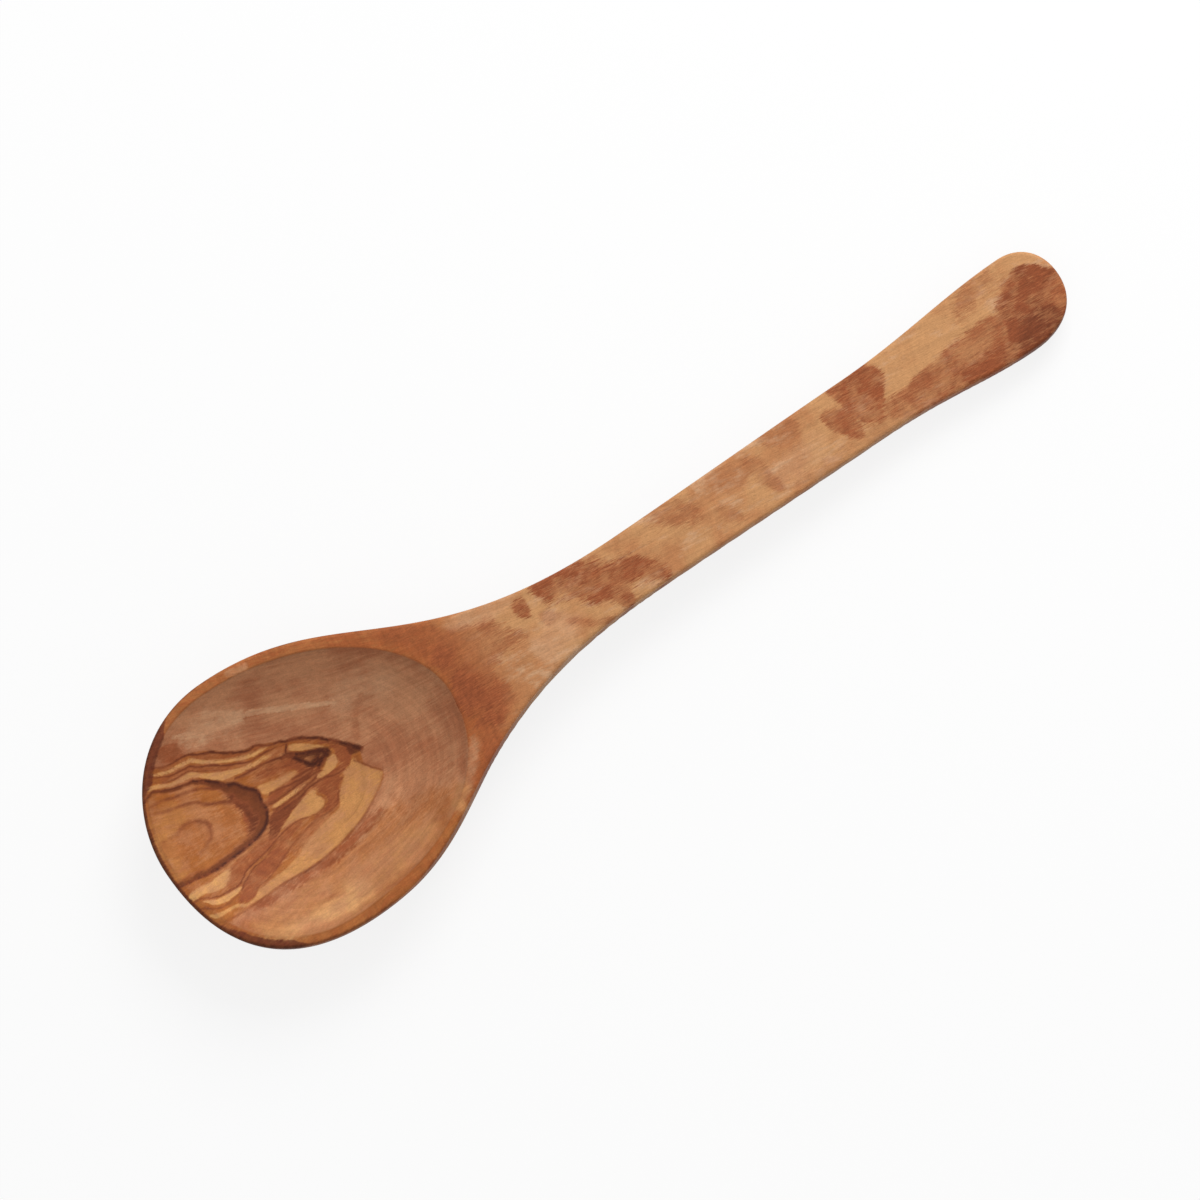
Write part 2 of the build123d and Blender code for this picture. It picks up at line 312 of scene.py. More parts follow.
# The whole skin: a round grid over the bowl and a straight one over the handle, above and below,
# joined by a strip that carries the rounded edge and the side wall round the outline
def spoonSkin():
    m, s = spoonMesh, spoonShape
    around, across, along = m["aroundBowlSide"], m["acrossHandle"], m["alongHandle"]
    radius = s["edgeRadius"]
    bowl, handle = {}, {}
    for side in (1, -1):
        gate, total = lengthAtPlace(sides[side], gateX)
        bowl[side] = pointsAlong(sides[side], np.linspace(0, gate, around + 1), side)
        handle[side] = pointsAlong(sides[side], np.linspace(gate, total, along + 1), side)
    c = np.linspace(-1, 1, across + 1)
    lean = (1 + c * (3 - c * c) / 2) / 2  # crowds the points towards both sides
    blocks, quads = [], []

    def addGrid(x, y, z, wrap=False):
        first = sum(len(b) for b in blocks)
        blocks.append(np.stack((x, y, z), -1).reshape(-1, 3))
        quads.append(gridFaces(x.shape[0], x.shape[1], first, wrap))

    for inset in (radius, 0.0):
        rim = {side: bowl[side][0] - inset * bowl[side][1] for side in (1, -1)}
        rail = {side: handle[side][0] - inset * handle[side][1] for side in (1, -1)}
        rows = rail[-1][:, None, :] + lean[None, :, None] * (rail[1] - rail[-1])[:, None, :]
        loop = np.vstack((rim[-1][::-1], rim[1][1:], rows[0, -2:0:-1]))
        angle = np.arctan2(loop[:, 1], loop[:, 0] - deepX)
        reach = np.hypot(loop[:, 0] - deepX, loop[:, 1])
        if inset:
            rimReach = eggAt(rimEgg, angle)
            inner = 1 - (1 - np.linspace(0, 1, m["hollowRings"] + 1)) ** m["hollowCrowding"]
            outer = np.linspace(0, 1, m["landRings"] + 1)[1:] ** m["landCrowding"]
            r = np.vstack((inner[:, None] * rimReach, rimReach + outer[:, None] * (reach - rimReach)))
        else:
            r = np.sin(np.linspace(0, np.pi / 2, m["bellyRings"] + 1))[:, None] * reach
            r[-1] = reach
        x, y = deepX + r * np.cos(angle), r * np.sin(angle)
        rowX, rowY = rows[..., 0], rows[..., 1]
        if inset:
            z = deckHeight(x) - hollowDepth(r / rimReach)
            rowZ = deckHeight(rowX) - hollowDepth(rimShareAt(rowX, rowY))
        else:
            z = undersideHeight(x, y)
            rowZ = undersideHeight(rowX, rowY)
        addGrid(x, y, z, wrap=True)
        addGrid(rowX, rowY, rowZ)

    # The strip: a quarter round down from the upper side, then the wall down to the underside
    ring = np.vstack((bowl[-1][0][:0:-1], bowl[1][0], handle[1][0][1:], handle[-1][0][-2:0:-1]))
    out = np.vstack((bowl[-1][1][:0:-1], bowl[1][1], handle[1][1][1:], handle[-1][1][-2:0:-1]))
    inner = ring - radius * out
    top = deckHeight(inner[:, 0]) - hollowDepth(rimShareAt(*inner.T))
    foot = undersideHeight(*ring.T)
    turn = np.linspace(0, np.pi / 2, m["edgeSteps"] + 1)[:, None]
    x = ring[:, 0] - radius * (1 - np.sin(turn)) * out[:, 0]
    y = ring[:, 1] - radius * (1 - np.sin(turn)) * out[:, 1]
    z = top - radius * (1 - np.cos(turn))
    down = np.linspace(0, 1, m["wallSteps"] + 1)[1:, None]
    wallX, wallY = (np.repeat(ring[None, :, i], m["wallSteps"], 0) for i in (0, 1))
    wallZ = z[-1] + down * (foot - z[-1])
    addGrid(np.vstack((x, wallX)), np.vstack((y, wallY)), np.vstack((z, wallZ)), wrap=True)
    return np.vstack(blocks), np.vstack(quads)


# A closed mesh of the points in metres, with its doubles merged and its faces turned outwards
def makeMesh(name, points, faces):
    mesh = bpy.data.meshes.new(name)
    mesh.from_pydata((points * mm).tolist(), [], faces.tolist())
    work = bmesh.new()
    work.from_mesh(mesh)
    bmesh.ops.remove_doubles(work, verts=work.verts, dist=spoonMesh["mergeDistance"] * mm)
    bmesh.ops.recalc_face_normals(work, faces=work.faces)
    openEdges = sum(1 for edge in work.edges if not edge.is_manifold)
    work.to_mesh(mesh)
    work.free()
    mesh.shade_smooth()
    piece = bpy.data.objects.new(name, mesh)
    bpy.context.scene.collection.objects.link(piece)
    print(name, "points", len(mesh.vertices), "faces", len(mesh.polygons), "open edges", openEdges)
    return piece


spoonPoints, spoonFaces = spoonSkin()
spoon = makeMesh("carvedSpoon", spoonPoints, spoonFaces)
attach(spoon, "root")
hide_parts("spoon")

# The figure of the wood, drawn as the rings show on the upper side. Places are in mm from
# the bowl's tip and across the spoon. A line has its widths and depths of colour along the way.
# Its glow is the brown wood beside it, on its left where glow is over 0 and on its right where it
# is under: glow is how strong it is, glowWidths how wide, and reach how far the line counts
figureLines = {
    "outerRing": {
        "widths": (0.6, 0.6, 0.7, 0.8, 0.8, 1.0, 2.0), "depths": (0.4, 0.75, 0.9, 0.9, 0.95, 1.1),
        "glow": -0.6,
        "points": ((10, 30), (12.5, 29.4), (14.5, 28.7), (16.5, 27.7), (19, 27.2), (22, 27), (24.2, 26.7),
            (27, 25), (29.8, 23.9), (32, 21.9), (36, 19.3), (39, 18.1), (41.5, 17.9), (44, 16.2),
            (47.5, 15), (49.2, 14), (52, 13.1), (56, 10.5), (59, 7.9), (62, 4.6), (64.9, 1), (66.4, -0.8)),
    },
    "secondRing": {
        "widths": (0.5, 0.5, 0.6, 0.6, 0.6), "depths": (0.4, 0.6, 0.75, 0.8, 0.6), "glow": -0.5,
        "points": ((9.5, 28.3), (11.5, 27.3), (14.5, 25.5), (17, 24.5), (20, 24.1), (22.8, 23.6),
            (24.5, 22.2), (28, 20.3), (31, 18.3), (35, 16.3), (37.5, 15.2), (42, 14.9), (48, 14)),
    },
    "secondRingEdge": {
        "widths": (0.4, 0.5, 0.5, 0.4), "depths": (0.25, 0.5, 0.45, 0.3), "glow": 0,
        "points": ((8, 27), (12, 25.3), (15, 23.6), (18, 22.9), (21.5, 22.8), (23.5, 21.3), (27, 19.3),
            (30, 17.4), (33, 16.6)),
    },
    "heartRing": {
        "widths": (0.5, 0.6, 0.8, 1.5, 1.2, 1.0, 1.2, 0.8, 0.6), "glow": -1.4, "reach": 7.0,
        "depths": (0.6, 0.85, 1.0, 1.2, 1.2, 1.2, 1.1, 0.95, 0.75),
        "glowWidths": (1.2, 1.4, 1.6, 1.9, 2.8, 5.2, 5.8, 3.4, 2.6, 2.6, 2.6, 2.4),
        "points": ((4, 21.5), (7.8, 23.2), (10.3, 23.5), (13.5, 21.8), (19, 20.1), (21, 19.8), (23.5, 17.9),
            (26.2, 15.7), (28, 13.5), (30.3, 12.3), (32, 9.9), (34.4, 6.9), (33.8, 3.5), (33.7, 1),
            (31.8, -1.9), (28.8, -3.5), (24, -4.4), (18, -4.9), (11.5, -4.9), (7, -4.1), (2, -3.4),
            (-1, -3)),
    },
    "firstInnerRing": {
        "widths": (0.7, 0.9, 1.0, 1.2), "depths": (0.25, 0.5, 0.6, 0.9), "glow": 0,
        "points": ((5, 20.5), (8, 20.2), (11, 19.9), (14, 18.9), (18, 18), (21, 16.9), (24.5, 14.9),
            (27.3, 12.8), (29, 10.5)),
    },
    "secondInnerRing": {
        "widths": (0.8, 1.0, 1.1, 1.2), "depths": (0.2, 0.5, 0.6, 0.9), "glow": 0,
        "points": ((6, 18.6), (9, 17.2), (12.5, 16.2), (17, 15), (19, 13.6), (20.5, 12), (25, 9.6),
            (28.5, 7.6), (31.5, 5.4), (33.6, 3.2)),
    },
    "eyeRing": {
        "widths": (0.8, 1.2, 1.2, 0.8), "depths": (0.2, 0.45, 0.5, 0.15), "glow": -0.9,
        "glowWidths": (2.5,), "reach": 3.0,
        "points": ((2, 10.5), (5, 9.8), (9, 9.9), (12, 10.8), (15, 10), (17.6, 8), (17.9, 6), (16.5, 3.6),
            (13, 1.8), (9, 1.2)),
    },
    "lowerRing": {
        "widths": (0.5, 0.5, 0.5, 0.5, 0.4), "depths": (0.45, 0.55, 0.65, 0.45, 0.25), "glow": 0.35,
        "points": ((-1, -9.4), (2.3, -9.1), (4.3, -9.3), (7, -10.9), (9, -11.7), (12, -12), (15, -12.3),
            (17.5, -11.3), (20, -9.9), (26, -9), (30, -8), (34, -6.9), (39, -6.6), (43, -7.6), (46.5, -7.9),
            (48.8, -6.8), (48.8, -5), (47, -3.2)),
    },
    "lowerBranch": {
        "widths": (0.6, 0.5, 0.5), "depths": (0.5, 0.55, 0.3), "glow": 0,
        "points": ((14.8, -14.3), (16.5, -13), (18.5, -12), (21.5, -10.7), (24.5, -10.5), (28, -9.4),
            (31, -8.2)),
    },
    "thirdLowerRing": {
        "widths": (0.6, 0.6, 0.5), "depths": (0.5, 0.5, 0.2), "glow": -0.3,
        "points": ((-0.5, -11), (2.5, -11.7), (4.5, -12.8), (6.8, -14.4), (9.5, -14.9), (12.5, -14.4),
            (15, -14.2)),
    },
    "paleEdge": {
        "widths": (0.5, 0.5, 0.6, 0.6, 0.5, 0.5), "depths": (0.2, 0.4, 0.35, 0.4, 0.4, 0.5), "glow": 0,
        "points": ((17.5, -16.9), (19.5, -15.8), (24, -15.4), (28.5, -13.7), (33, -11.9), (36, -10.9),
            (40, -10.1), (44, -9.4), (48, -9.5), (51, -9.2), (52.8, -7.2), (54.2, -5.3)),
    },
    "lowestRing": {
        "widths": (0.5, 0.7, 0.7, 0.7, 0.6), "depths": (0.1, 0.4, 0.5, 0.45, 0.3), "glow": 0.8,
        "glowWidths": (2.6,), "reach": 3.2,
        "points": ((67, -8.6), (65, -10.8), (62, -12.9), (57, -15.6), (51, -17.7), (46, -18.8), (40, -19.8),
            (34, -19.9), (28, -19.3), (20, -19.2), (13, -19.4), (7, -18.6), (3, -17)),
    },
    "creamEdge": {
        "widths": (0.5, 0.6, 0.4), "depths": (0.4, 0.5, 0.4), "glow": 0.8, "glowWidths": (2.6,),
        "reach": 3.2,
        "points": ((61.4, -0.8), (63.4, -3.4), (65.2, -6), (67.3, -8.8)),
    },
    "noseStreakTop": {
        "widths": (0.7, 0.8, 0.9), "depths": (0.6, 0.8, 0.9), "glow": 0,
        "points": ((36, 4.2), (40, 3.9), (43, 3.2), (46, 2.7), (49, 2.5), (52, 3.1)),
    },
    "noseStreak": {
        "widths": (0.9, 0.8, 0.8, 0.9), "depths": (0.9, 0.7, 0.8, 0.95), "glow": 0.5,
        "points": ((34, 2.2), (37, 1.6), (42, 1.8), (47, 1.9), (50, 1.8), (53.6, 1.9)),
    },
    "lowStreakTop": {
        "widths": (0.8, 0.8, 0.8), "depths": (0.7, 0.75, 0.6), "glow": -0.5,
        "points": ((34.5, -0.2), (38, -0.5), (43, -0.4), (47, 0.1), (50, 0.6), (51.5, 1.2)),
    },
    "lowStreak": {
        "widths": (0.8, 0.8, 0.7, 0.6), "depths": (0.8, 0.85, 0.6, 0.5), "glow": 0,
        "points": ((35.5, -1.6), (40, -1.5), (44, -1.3), (48, -0.6), (52, -0.7), (56, -1.9), (60, -1.8)),
    },
    "knotTail": {
        "widths": (0.6, 0.8, 0.7, 1.0), "depths": (0.5, 0.7, 0.7, 0.9), "glow": -0.4,
        "points": ((30.4, 13.7), (33, 13.1), (37, 12.7), (41, 12.3), (43.5, 11.6), (46.5, 10.6)),
    },
    "knotBridge": {
        "widths": (0.8, 0.6, 0.6), "depths": (0.8, 0.9, 0.9), "glow": 0,
        "points": ((49, 14.2), (48.7, 13.2), (47.8, 12), (46.6, 11)),
    },
    "knotFork": {
        "widths": (0.6, 0.9, 0.9), "depths": (0.5, 0.9, 0.9), "glow": 0,
        "points": ((44, 4), (47.5, 3.9), (50.5, 3.7), (52.5, 3.2)),
    },
    "knotUpper": {
        "widths": (0.9, 1.3, 1.2, 1.5, 1.9, 2.2, 1.6, 1.0),
        "depths": (0.9, 1.1, 1.0, 1.2, 1.2, 1.2, 1.1, 0.9), "glow": -0.8,
        "points": ((44.6, 10.4), (47, 10.9), (49.4, 9.6), (51.5, 8.3), (54.2, 7.3), (56.3, 6), (57.3, 4.9),
            (55.4, 4), (53, 2.8), (51.4, 2.4)),
    },
    "knotLower": {
        "widths": (0.8, 1.6, 1.5, 2.0, 2.4, 1.6), "depths": (0.9, 1.1, 1.1, 1.2, 1.2, 1.1), "glow": -0.6,
        "points": ((46, 10.8), (48, 9.4), (49.4, 7.4), (50.4, 5.8), (51.6, 4.4), (53.6, 4.6), (55.4, 5.2)),
    },
}

# Patches of other wood, and of painted highlight: depth of colour, softness of the edge in mm, and the
# outline
paleAndHighlightPatches = (
    (0.9, 0.4, ((11, 28.3), (14, 27.2), (17, 26.2), (21, 25.9), (24.3, 25.3), (26.5, 23.3), (30, 21.1),
        (34, 19), (38, 17.6), (44.5, 16.2), (44, 15.6), (38, 16), (34, 17.6), (30, 19.7), (25.5, 22.6),
        (23.8, 24.3), (20, 24.9), (16, 25.5), (12, 27.3))),
    (0.8, 0.4, ((9, 25.5), (12, 24.6), (15, 23), (18, 22.5), (22, 22.2), (24.5, 20), (28, 18), (31, 16.6),
        (36, 14.8), (42, 14.1), (44, 13.4), (42, 13), (36, 13.5), (30, 14.6), (27.5, 15.4), (24, 18.6),
        (21.5, 20.6), (15, 21.9), (12, 23.5), (9.5, 24))),
    (1.0, 0.5, ((2, -6.6), (6, -6.3), (9, -6.9), (13, -6.7), (16, -7.1), (15, -8.7), (13.5, -10.1),
        (11, -10.4), (8.5, -9.9), (5.5, -8.7), (2, -8.6))),
    (1.0, 0.35, ((4.2, -10.1), (6, -11), (8, -12), (11, -12.5), (15.6, -12.8), (15, -13.6), (12.5, -14),
        (10, -14.2), (8, -13.8), (6, -12.5))),
    (0.75, 0.4, ((3.5, -14.6), (6, -15.5), (9, -16), (12, -16.4), (14, -17.8), (17, -18), (14, -18.8),
        (11.5, -17.2), (8, -16.9), (5, -16.5))),
    (0.62, 0.6, ((13, -18.4), (16.5, -17.9), (19, -16.6), (24, -16.3), (30, -15.9), (35, -14.6),
        (40, -12.5), (46, -11.2), (51, -10.3), (53, -7.4), (55, -5.4), (57.3, -3.6), (57.5, -2.4),
        (60, -2.1), (62, -0.6), (63.2, -3.5), (65, -6), (66.7, -8.6), (65, -10.6), (61, -13.2), (56, -15.9),
        (50, -17.8), (42, -19.3), (32, -19.5), (26, -19), (18, -19))),
    (0.68, 0.5, ((34, -6.1), (36, -5), (39, -3.8), (42, -2.8), (45, -2), (47.5, -1.4), (48.3, -2.6),
        (47.6, -3.4), (48.6, -5), (48.3, -6.8), (46, -7.6), (42, -7.3), (39, -6.2))),
    (0.8, 0.4, ((35.3, 0.9), (40, 1.2), (46.5, 1.2), (46.3, 0.4), (42, 0.1), (37, -0.1))),
    (0.6, 0.7, ((35.2, 7.8), (37.5, 7.5), (41, 6.5), (46.5, 5.6), (46.5, 4.6), (41, 4.5), (36, 4.5))),
    (0.68, 0.4, ((48.7, 12.4), (50, 12.5), (52.5, 11), (55, 9), (57.5, 6.4), (58.5, 4.4), (57.1, 5.7),
        (55.3, 7.4), (52, 9), (49.5, 10.5), (48.2, 11.6))),
    (0.7, 0.5, ((50.8, 0.9), (53.5, 1.4), (55.5, 2.9), (58, 3.6), (58.3, 1.8), (57, 0.1), (54, -0.5),
        (51, -0.1))),
    (0.42, 1.6, ((75, -29.5), (81, -25), (87, -20), (91, -16), (94, -15.5), (93.5, -18), (90, -22.5),
        (86, -26.5), (79, -30))),
    (0.35, 0.9, ((46, 40.2), (46.4, 38.2), (51, 37.4), (52, 39))),
    (0.4, 1.5, ((104, 17), (106, 13), (112, 10.5), (121, 9), (124, 11), (114, 15))),
    (0.5, 3.0, ((122, -1.6), (133, 1), (137, -4), (133, -9.6), (122, -9))),
    (0.3, 3.5, ((205, 1), (222, 1), (222, -6), (207, -6))),
    # painted highlight and paler wood on the bowl's lower wall, which faces the light: this patch and the
    # next
    (0.4, 4.0, ((40, -28), (60, -27), (70, -29), (60, -34), (44, -36))),
    (0.95, 4.0, ((14, -26), (28, -29), (42, -32.5), (40, -36), (26, -34.5), (15, -29))),
    (1.0, 4.0, ((24, 31), (34, 33), (44, 29), (38, 25), (28, 28))),
    (0.25, 3.0, ((2, 6), (4, 15), (9, 18), (15, 15.5), (17, 11.5), (10, 11), (6, 4), (5, -1), (2, -1))),
    (0.4, 4.0, ((64, 13), (72, 19), (83, 15), (82, 8), (72, 10))),
    # painted highlight and paler wood on the bowl's lower wall
    (0.3, 4.0, ((14, -23.5), (34, -24.5), (36, -29), (16, -28))),
    (0.85, 0.5, ((24, 33.4), (34, 30), (45, 27.4), (55, 22.6), (66, 16.4), (65, 15.6), (54, 21.2),
        (44, 26.2), (34, 28.6), (24, 32.4))),
)
brownPatches = (
    (1.5, 1.2, ((26.2, 11.6), (30, 10.4), (33.2, 6.6), (33, 3), (33, 0.8), (31, -1.6), (26, -2.8),
        (25.4, -0.8), (26.9, 1.5), (27, 5), (26.6, 8.2))),
    (0.25, 3.0, ((16, 8), (22, 9), (25, 6), (25, 1), (20, -1), (15, 0))),
    (0.6, 0.5, ((24.5, 26), (28, 24.2), (31, 22), (35, 19.5), (39, 17.9), (42, 17.6), (45, 15.9),
        (38, 16.9), (34, 18.5), (30, 20.6), (27, 23), (25, 24.8))),
    (0.6, 0.5, ((14, 25.5), (18, 24.2), (23, 23.4), (26, 21), (30, 18.5), (34, 16.6), (30, 17.2),
        (26, 19.6), (23, 22), (18, 23), (14, 24.3))),
    (0.8, 0.8, ((12, -10.5), (15, -8), (17, -6.4), (24, -6), (31, -6), (32, -7.5), (27, -9), (20, -10),
        (17, -11.5), (14, -11.8))),
    (0.9, 0.8, ((14.5, -14.5), (17, -12.9), (21, -11), (26, -10.2), (31, -8.6), (36, -7), (40, -7.2),
        (39, -8.6), (34, -9.6), (33, -12), (28, -14.3), (20, -15.8), (17.5, -17.3), (14.5, -17.5),
        (12.5, -16.2))),
    (0.45, 0.8, ((33, -10.6), (38, -9.4), (44, -9.6), (50, -9.8), (44, -11.2), (38, -12.6), (33, -14))),
    (1.3, 0.5, ((32.5, -2), (34.5, -0.7), (39, -1), (46, -1.3), (43, -2.4), (39, -3.6), (35.5, -5.2),
        (33, -6.2), (31, -7), (29.5, -6), (31, -4.4))),
    (1.05, 0.5, ((47.8, -1), (52, -0.6), (59.5, -0.3), (60.6, -1.4), (56, -2.4), (56.4, -3.8), (54, -5.3),
        (52.2, -8.2), (50.5, -9.3), (45, -9.1), (42, -8.6), (46, -8.3), (49.2, -7.2), (49.9, -5),
        (48.6, -3.4), (49, -2.1))),
    (0.6, 0.9, ((36, 10.4), (40, 11.6), (45, 10.9), (49, 8.6), (50.5, 6.5), (48, 6.2), (42, 7.3),
        (37.5, 8.6))),
    (1.0, 0.5, ((34.6, 3.4), (40, 3.9), (46, 4.2), (50, 3.4), (52, 2.2), (44, 2.1), (38, 2.2), (34.8, 2.5))),
    (1.1, 0.9, ((46, 9.5), (48, 8), (50.5, 5), (51.5, 3), (48, 1.5), (46.5, 2), (47, 5), (45.5, 7.5),
        (40, 9), (37, 10.5), (43, 10.6))),
    (1.0, 0.5, ((50, 13.4), (53, 12), (56, 9.7), (59, 7), (61.5, 4.4), (64, 1.5), (62, 0), (60.6, -1),
        (58.6, 0), (58.8, 3), (59, 4.8), (57, 7.6), (54.5, 10.4), (52, 12.2))),
    (0.6, 0.6, ((30.5, 13.4), (34, 12.6), (40, 12), (44, 11.6), (48, 13.6), (46, 14), (43, 12.8),
        (37, 13.2))),
    (0.85, 0.9, ((16.5, 32), (19, 32.6), (23, 31.5), (22.6, 27.3), (19, 27.6), (16.5, 29))),
    (0.3, 1.5, ((3, 8.6), (8, 9), (11, 10), (14.5, 9.6), (17.2, 7.4), (16.6, 4.6), (13, 3), (8, 3.4),
        (4, 5))),
    (0.8, 1.2, ((14, -20.2), (22, -19.8), (32, -20.4), (44, -20), (58, -16.8), (60, -18.6), (46, -22),
        (30, -22.3), (18, -21.6))),
    (0.68, 2.2, ((86, 26), (91, 18), (95.5, 11), (96.3, 0), (95.5, -11), (94, -19), (91, -25), (98, -22),
        (101, -17), (108, -14.3), (111.5, -13), (109.4, -9), (109, -3), (112, -1), (121, -0.6), (122, 1),
        (119, 3.6), (117, 8.5), (112, 10.3), (108, 12.6), (103, 15), (99.5, 20))),
    (1.05, 2.4, ((95.8, 0), (99, 0.5), (103.6, -2), (104.6, -8), (103, -13), (101, -15.6), (97, -14),
        (95.2, -8))),
    (1.0, 1.4, ((96.4, 9), (99, 11), (104, 7), (103, 2.4), (97, 1.6))),
    (0.55, 2.4, ((103, 12), (109, 10), (111, 5), (107, 1), (104.6, 5))),
    (1.0, 0.8, ((123.3, 9.8), (126.8, 10), (127.2, 6.4), (125.8, 4), (123.2, 6))),
    (0.35, 1.0, ((128, 2.6), (131, 2.8), (133.4, -0.6), (129, -1))),
    (0.45, 0.9, ((65.4, 3.4), (66.4, 6.6), (68.6, 9.4), (71.6, 12.2), (74.6, 13.4), (74.2, 11.4),
        (71.4, 9.6), (69.4, 7.2), (67.6, 4.2), (66.4, 2.2))),
    (0.4, 0.8, ((70.4, 12.6), (74.6, 12.2), (77, 10.4), (73.6, 10.8), (70.8, 11.4))),
    (0.3, 5.0, ((64, -20), (76, -24), (84, -18), (84, -8), (72, -10))),
    (0.95, 2.0, ((131, 11), (131.4, 7), (133.8, 3.8), (137.6, 1.4), (141.4, -0.6), (143.5, -2.8),
        (147, -3.8), (149, -8), (153.3, -9.6), (154.4, -5.4), (158, -4.6), (159.6, -7.6), (163, -9),
        (166, -8), (165.5, -4.5), (160, 1.2), (154, 4.6), (149, 7.3), (144, 11))),
    (1.0, 1.0, ((148, -3), (152, -3.4), (153.6, -9.6), (149.6, -9.6))),
    (0.6, 1.0, ((133.6, -2.8), (135.5, -5.6), (138.6, -8.4), (143, -10.2), (150, -10.2), (144, -8.6),
        (139.6, -6.2), (136.4, -3.4))),
    (0.6, 2.6, ((168.6, 11), (178, 11), (182, 6), (181, 0.5), (176, 2), (171, 4.8))),
    (0.25, 2.0, ((180.4, -4.6), (184, -4.8), (184, -8.6), (181, -9))),
    (0.38, 2.0, ((185.4, -1), (188.4, 0.6), (191.4, -3.6), (191.6, -7.6), (188.8, -7.2), (186, -4.6))),
    (0.24, 2.0, ((189, 8.4), (199, 7.4), (200, 2.6), (194, 0.6), (190, 3.6))),
    (0.5, 1.4, ((200.8, 6.4), (205, 5), (205.8, -6), (202.6, -4.4), (200.6, 0.4))),
    (0.42, 1.6, ((207.8, 11), (217.6, 11), (218.6, 5), (215.4, 1.4), (211, 3.6))),
    (0.3, 2.5, ((213, -6), (226, -5.6), (238, -6), (248, -5), (250, -11), (213, -11))),
    (0.85, 0.9, ((226, 5.2), (230.6, 4.4), (233.6, 1.6), (234.2, -5), (231.6, -6.8), (228, -2.6),
        (226, 0.4))),
    (0.95, 1.0, ((232.2, 11), (243, 11), (247.2, 7), (247.4, 3.6), (245.2, 0.8), (243.4, -2), (240.5, -6),
        (236, -4.6), (233.8, -1), (232.4, 4))),
    (0.82, 1.2, ((242, -3.4), (248, -2), (256, -1), (262, 0), (275, 1), (285, 0.6), (292, -3), (296, -15),
        (280, -15), (262, -13), (249, -10), (244, -7.6))),
    (0.8, 1.4, ((260, -1.6), (263, -1.2), (272, 0), (284, -0.4), (287, -3), (278, -5), (268, -4.4),
        (259, -3.6))),
    (1.05, 1.2, ((264, -7.6), (272, -7.6), (284, -7), (288, -11), (284, -14), (270, -12), (262, -10))),
    (1.15, 0.9, ((284.6, 2.6), (288, 6.4), (292, 8.3), (297, 8.2), (300.6, 6.6), (302.8, 3.8), (306, 1.6),
        (305.5, -2.6), (302.4, -2.6), (300, -3), (299, -4.6), (300.2, -6), (304.5, -7), (302, -11),
        (298, -15), (279, -15.5), (279.4, -10), (283.4, -6), (284.8, -2))),
    (0.95, 0.8, ((298.6, -2.4), (304, -2), (303.6, -7.4), (299.6, -7))),
    (1.35, 2.0, ((287, -8), (293, -5), (297, -6.5), (298.6, -9), (297, -15), (286, -15), (285, -12))),
    (0.55, 4.0, ((277, 12), (288, 14), (290, 9), (284, 6), (274, 7))),
)
darkPatches = (
    (0.95, 0.5, ((51.6, 4.6), (53, 6.4), (55, 7.4), (57.2, 5.4), (55.6, 4.1), (53, 2.8))),
    (0.8, 0.7, ((49.4, 9.2), (52, 8), (55, 7), (56.6, 5.6), (54, 4.8), (51.6, 6), (50, 7.6))),
    (0.6, 0.6, ((62.2, 0.4), (62, 1.8), (62.8, 3.6), (64.4, 2.2), (65.6, 0.4), (64.4, -0.4))),
    (0.7, 0.6, ((31.6, 9.6), (33.6, 7.8), (34.6, 6.2), (34, 4.4), (32.6, 5.2), (31.6, 6.8))),
    (0.35, 1.0, ((24, 17.2), (26, 15.8), (28, 13.4), (31, 11.2), (34.2, 7), (34, 3), (33.6, 0.5), (32.4, 0),
        (32.6, 3), (31.6, 6.5), (29.6, 9.6), (27, 12.6), (24.6, 15.4))),
)
# The whole figured area, whose wood is more orange than the rest of the bowl, and the bowl's near side
heartPatches = (
    (1.0, 0.5, ((4, 32), (12, 29.8), (17, 27.6), (24.2, 26.8), (30, 23.9), (36, 19.4), (41.5, 17.9),
        (49, 14.2), (56, 10.6), (62, 4.7), (65, 1), (64, -4), (67, -8.8), (62, -13), (52, -17.6),
        (40, -19.9), (26, -19.4), (12, -19.6), (2, -18), (-6, -12), (-6, 20))),
    (0.62, 3.0, ((4, -22), (30, -22.5), (50, -21), (62, -18), (75, -21), (85, -26), (70, -37), (50, -41),
        (30, -40), (12, -31))),
)
# Stains on the land and wall round the bowl: from, to, side, depth of colour
rimStains = (
    (-9, 3, 1, 0.72), (3, 9, 1, 0.6), (9, 23, 1, 1.08), (23, 42, 1, 0.35), (56, 70, 1, 0.3),
    (74, 90, 1, 0.25), (-9, 6.5, -1, 0.62), (6.5, 21, -1, 1.0), (21, 50, -1, 0.4), (60, 80, -1, 0.3),
)
figureSpread = {  # in mm, apart from endShare and clearance
    "lineReach": 1.7,  # how far from a line its own colour still counts
    "lineFade": 0.5,
    "endShare": 0.04,  # of a line's length, over which each end fades
    "clearance": 1.1,  # lines that stay this many reaches apart share a layer
    "glowWidth": 1.3,
    "patchReach": 7.0,  # how far outside a patch its edge is still worked out
    "leastSoftness": 0.3,
    "farAway": 9.0,
    "stainFade": (4.0, 6.0, 9.0),  # along, across and down the wall
    "stainMiddle": 3.0,
}

